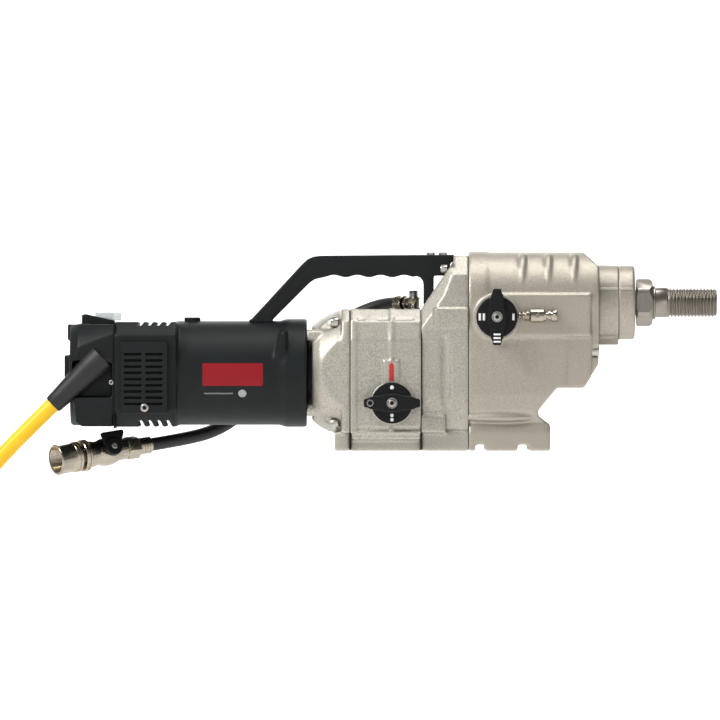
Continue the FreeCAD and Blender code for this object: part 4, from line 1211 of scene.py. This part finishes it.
def valve_body():
    """The plated valve: hose hexagon, ball chamber, tapered neck and knurled ring."""
    chamber = [(29, 0), (29, 10.4), (31.5, 11.4), (39, 11.5), (43, 12.8), (48, 14.5), (54, 15.0), (60, 14.5),
               (64, 13.2), (67, 12.9), (72, 14.2), (77.4, 14.9), (77.6, 16.2), (78.4, 16.9), (80.2, 16.9),
               (80.8, 15.9), (81.6, 15.9), (82.2, 16.9), (84.2, 16.9), (85.0, 16.2), (85.2, 9.9), (94, 9.9),
               (94, 12.3), (95.9, 12.3), (95.9, 5.2), (70, 5.2), (70, 0)]
    shape = turned(chamber, steps=72)
    hexagon = rounded(prism(15.1, 30.0, 11 / math.cos(math.pi / 6), (0, 0, 0)), 0.9 * MM, 3)
    stem_boss = turned([(0, 0), (0, 7.4), (14.2, 7.4), (15.6, 6.6), (16.0, 6.0), (16.0, 0)], mm(STEM, 0, 0),
                       (0, 1, 0), steps=40)
    tail = crimped_ferrule(-0.9, 15.0, 9.0, 6.9, 9.5)
    return placed(joined(skin_free(shape, stem_boss), hexagon), VALVE), placed(tail, VALVE)


def coupling_nut():
    """The swivel nut with turned grooves outside and a thread inside."""
    outside = [(88.3, 10.5), (88.3, 15.2), (89.2, 16.3), (91.4, 16.3), (92.0, 15.4), (92.8, 15.4),
               (93.4, 16.3), (95.2, 16.3), (95.8, 15.7), (112.4, 15.9), (113.0, 16.3), (114.3, 16.3),
               (115.0, 15.6), (115.0, 13.9)]
    inside = []
    ridge = 1.5
    station = 114.0
    while station > 99.0:
        inside += [(station, 13.9), (station - ridge * 0.5, 13.1)]
        station -= ridge
    inside += [(98.6, 13.2), (98.6, 12.6), (93.7, 12.6), (93.7, 10.5)]
    return placed(tube_ring(metres(outside + inside), steps=72), VALVE)


def valve_lever():
    """The black turning lever: a round hub and a flared blade."""
    hub = turned([(16.6, 0), (16.6, 9.8), (17.4, 10.0), (22.2, 9.7), (22.9, 8.9), (22.9, 0)], mm(STEM, 0, 0),
                 (0, 1, 0), steps=56)
    blade_outline = [(-9, -2), (-11.5, 5), (-16.4, 13), (-16.4, 16), (-15.2, 16.9), (9.2, 16.9), (10.4, 16),
                     (10.4, 13), (9.4, 5), (8.6, -2)]
    blade = plate([(x + STEM, z) for x, z in blade_outline], 17.6, 21.4)
    mesh = skinned(joined(hub, blade), 0.55 * MM, 3, 0.5)
    return placed(mesh, VALVE)


def hose_clip():
    return skinned(copy_of("hose_clip"), 0.8 * MM, 2, 0.6)


water_line = hose()
ferrule_shape, elbow_shape = top_fitting()
valve_shape, tail_shape = valve_body()
top_ferrule = finished(joined(ferrule_shape, tail_shape), "hose_ferrules", NICKEL,
                       replaces=["hose_ferrules"])
finished(elbow_shape, "banjo_elbow", NICKEL, replaces=["water_elbow"])
finished(fitting_bolt(), "banjo_bolt", SCREW_STEEL, replaces=["water_elbow_bolt"])
finished(hose_clip(), "hose_bracket", BLACK, replaces=["hose_clip"])
valve = finished(valve_shape, "ball_valve", NICKEL, replaces=["water_valve_body"])
nut = finished(coupling_nut(), "swivel_coupling", NICKEL, body="swivel_nut",
               replaces=["coupling_nut"])
lever = finished(valve_lever(), "valve_lever", KNOB_BLACK, body="valve_stem",
                 replaces=["water_valve_lever"])
lever_screw = finished(placed(hexagon_socket(mm(STEM, 22.6, 0), (0, 1, 0), 3.4 * MM, 1.6 * MM), VALVE),
                       "lever_screw", SCREW_STEEL, body="valve_stem")


# ------ finishes of the CAD pieces that stay

PLAIN_FINISHES = {
    "cast_alloy": CAST, "black_plastic": BLACK, "clear_plastic": CLEAR, "bright_steel": STEEL,
    "bearing_steel": SCREW_STEEL, "fork_bronze": BRASS, "nickel_brass": NICKEL, "black_rubber": BOOT_RUBBER,
    "lever_black": KNOB_BLACK, "yellow_sheath": YELLOW, "lamination": SCREW_STEEL, "fan_plastic": BLACK,
    "carbon": DARK,
}
for subpart in frame["record"]["subparts"]:
    mesh = frame["nodes"][subpart["node"]].data
    mesh.materials.clear()
    mesh.materials.append(PLAIN_FINISHES[subpart["material_slot"]])
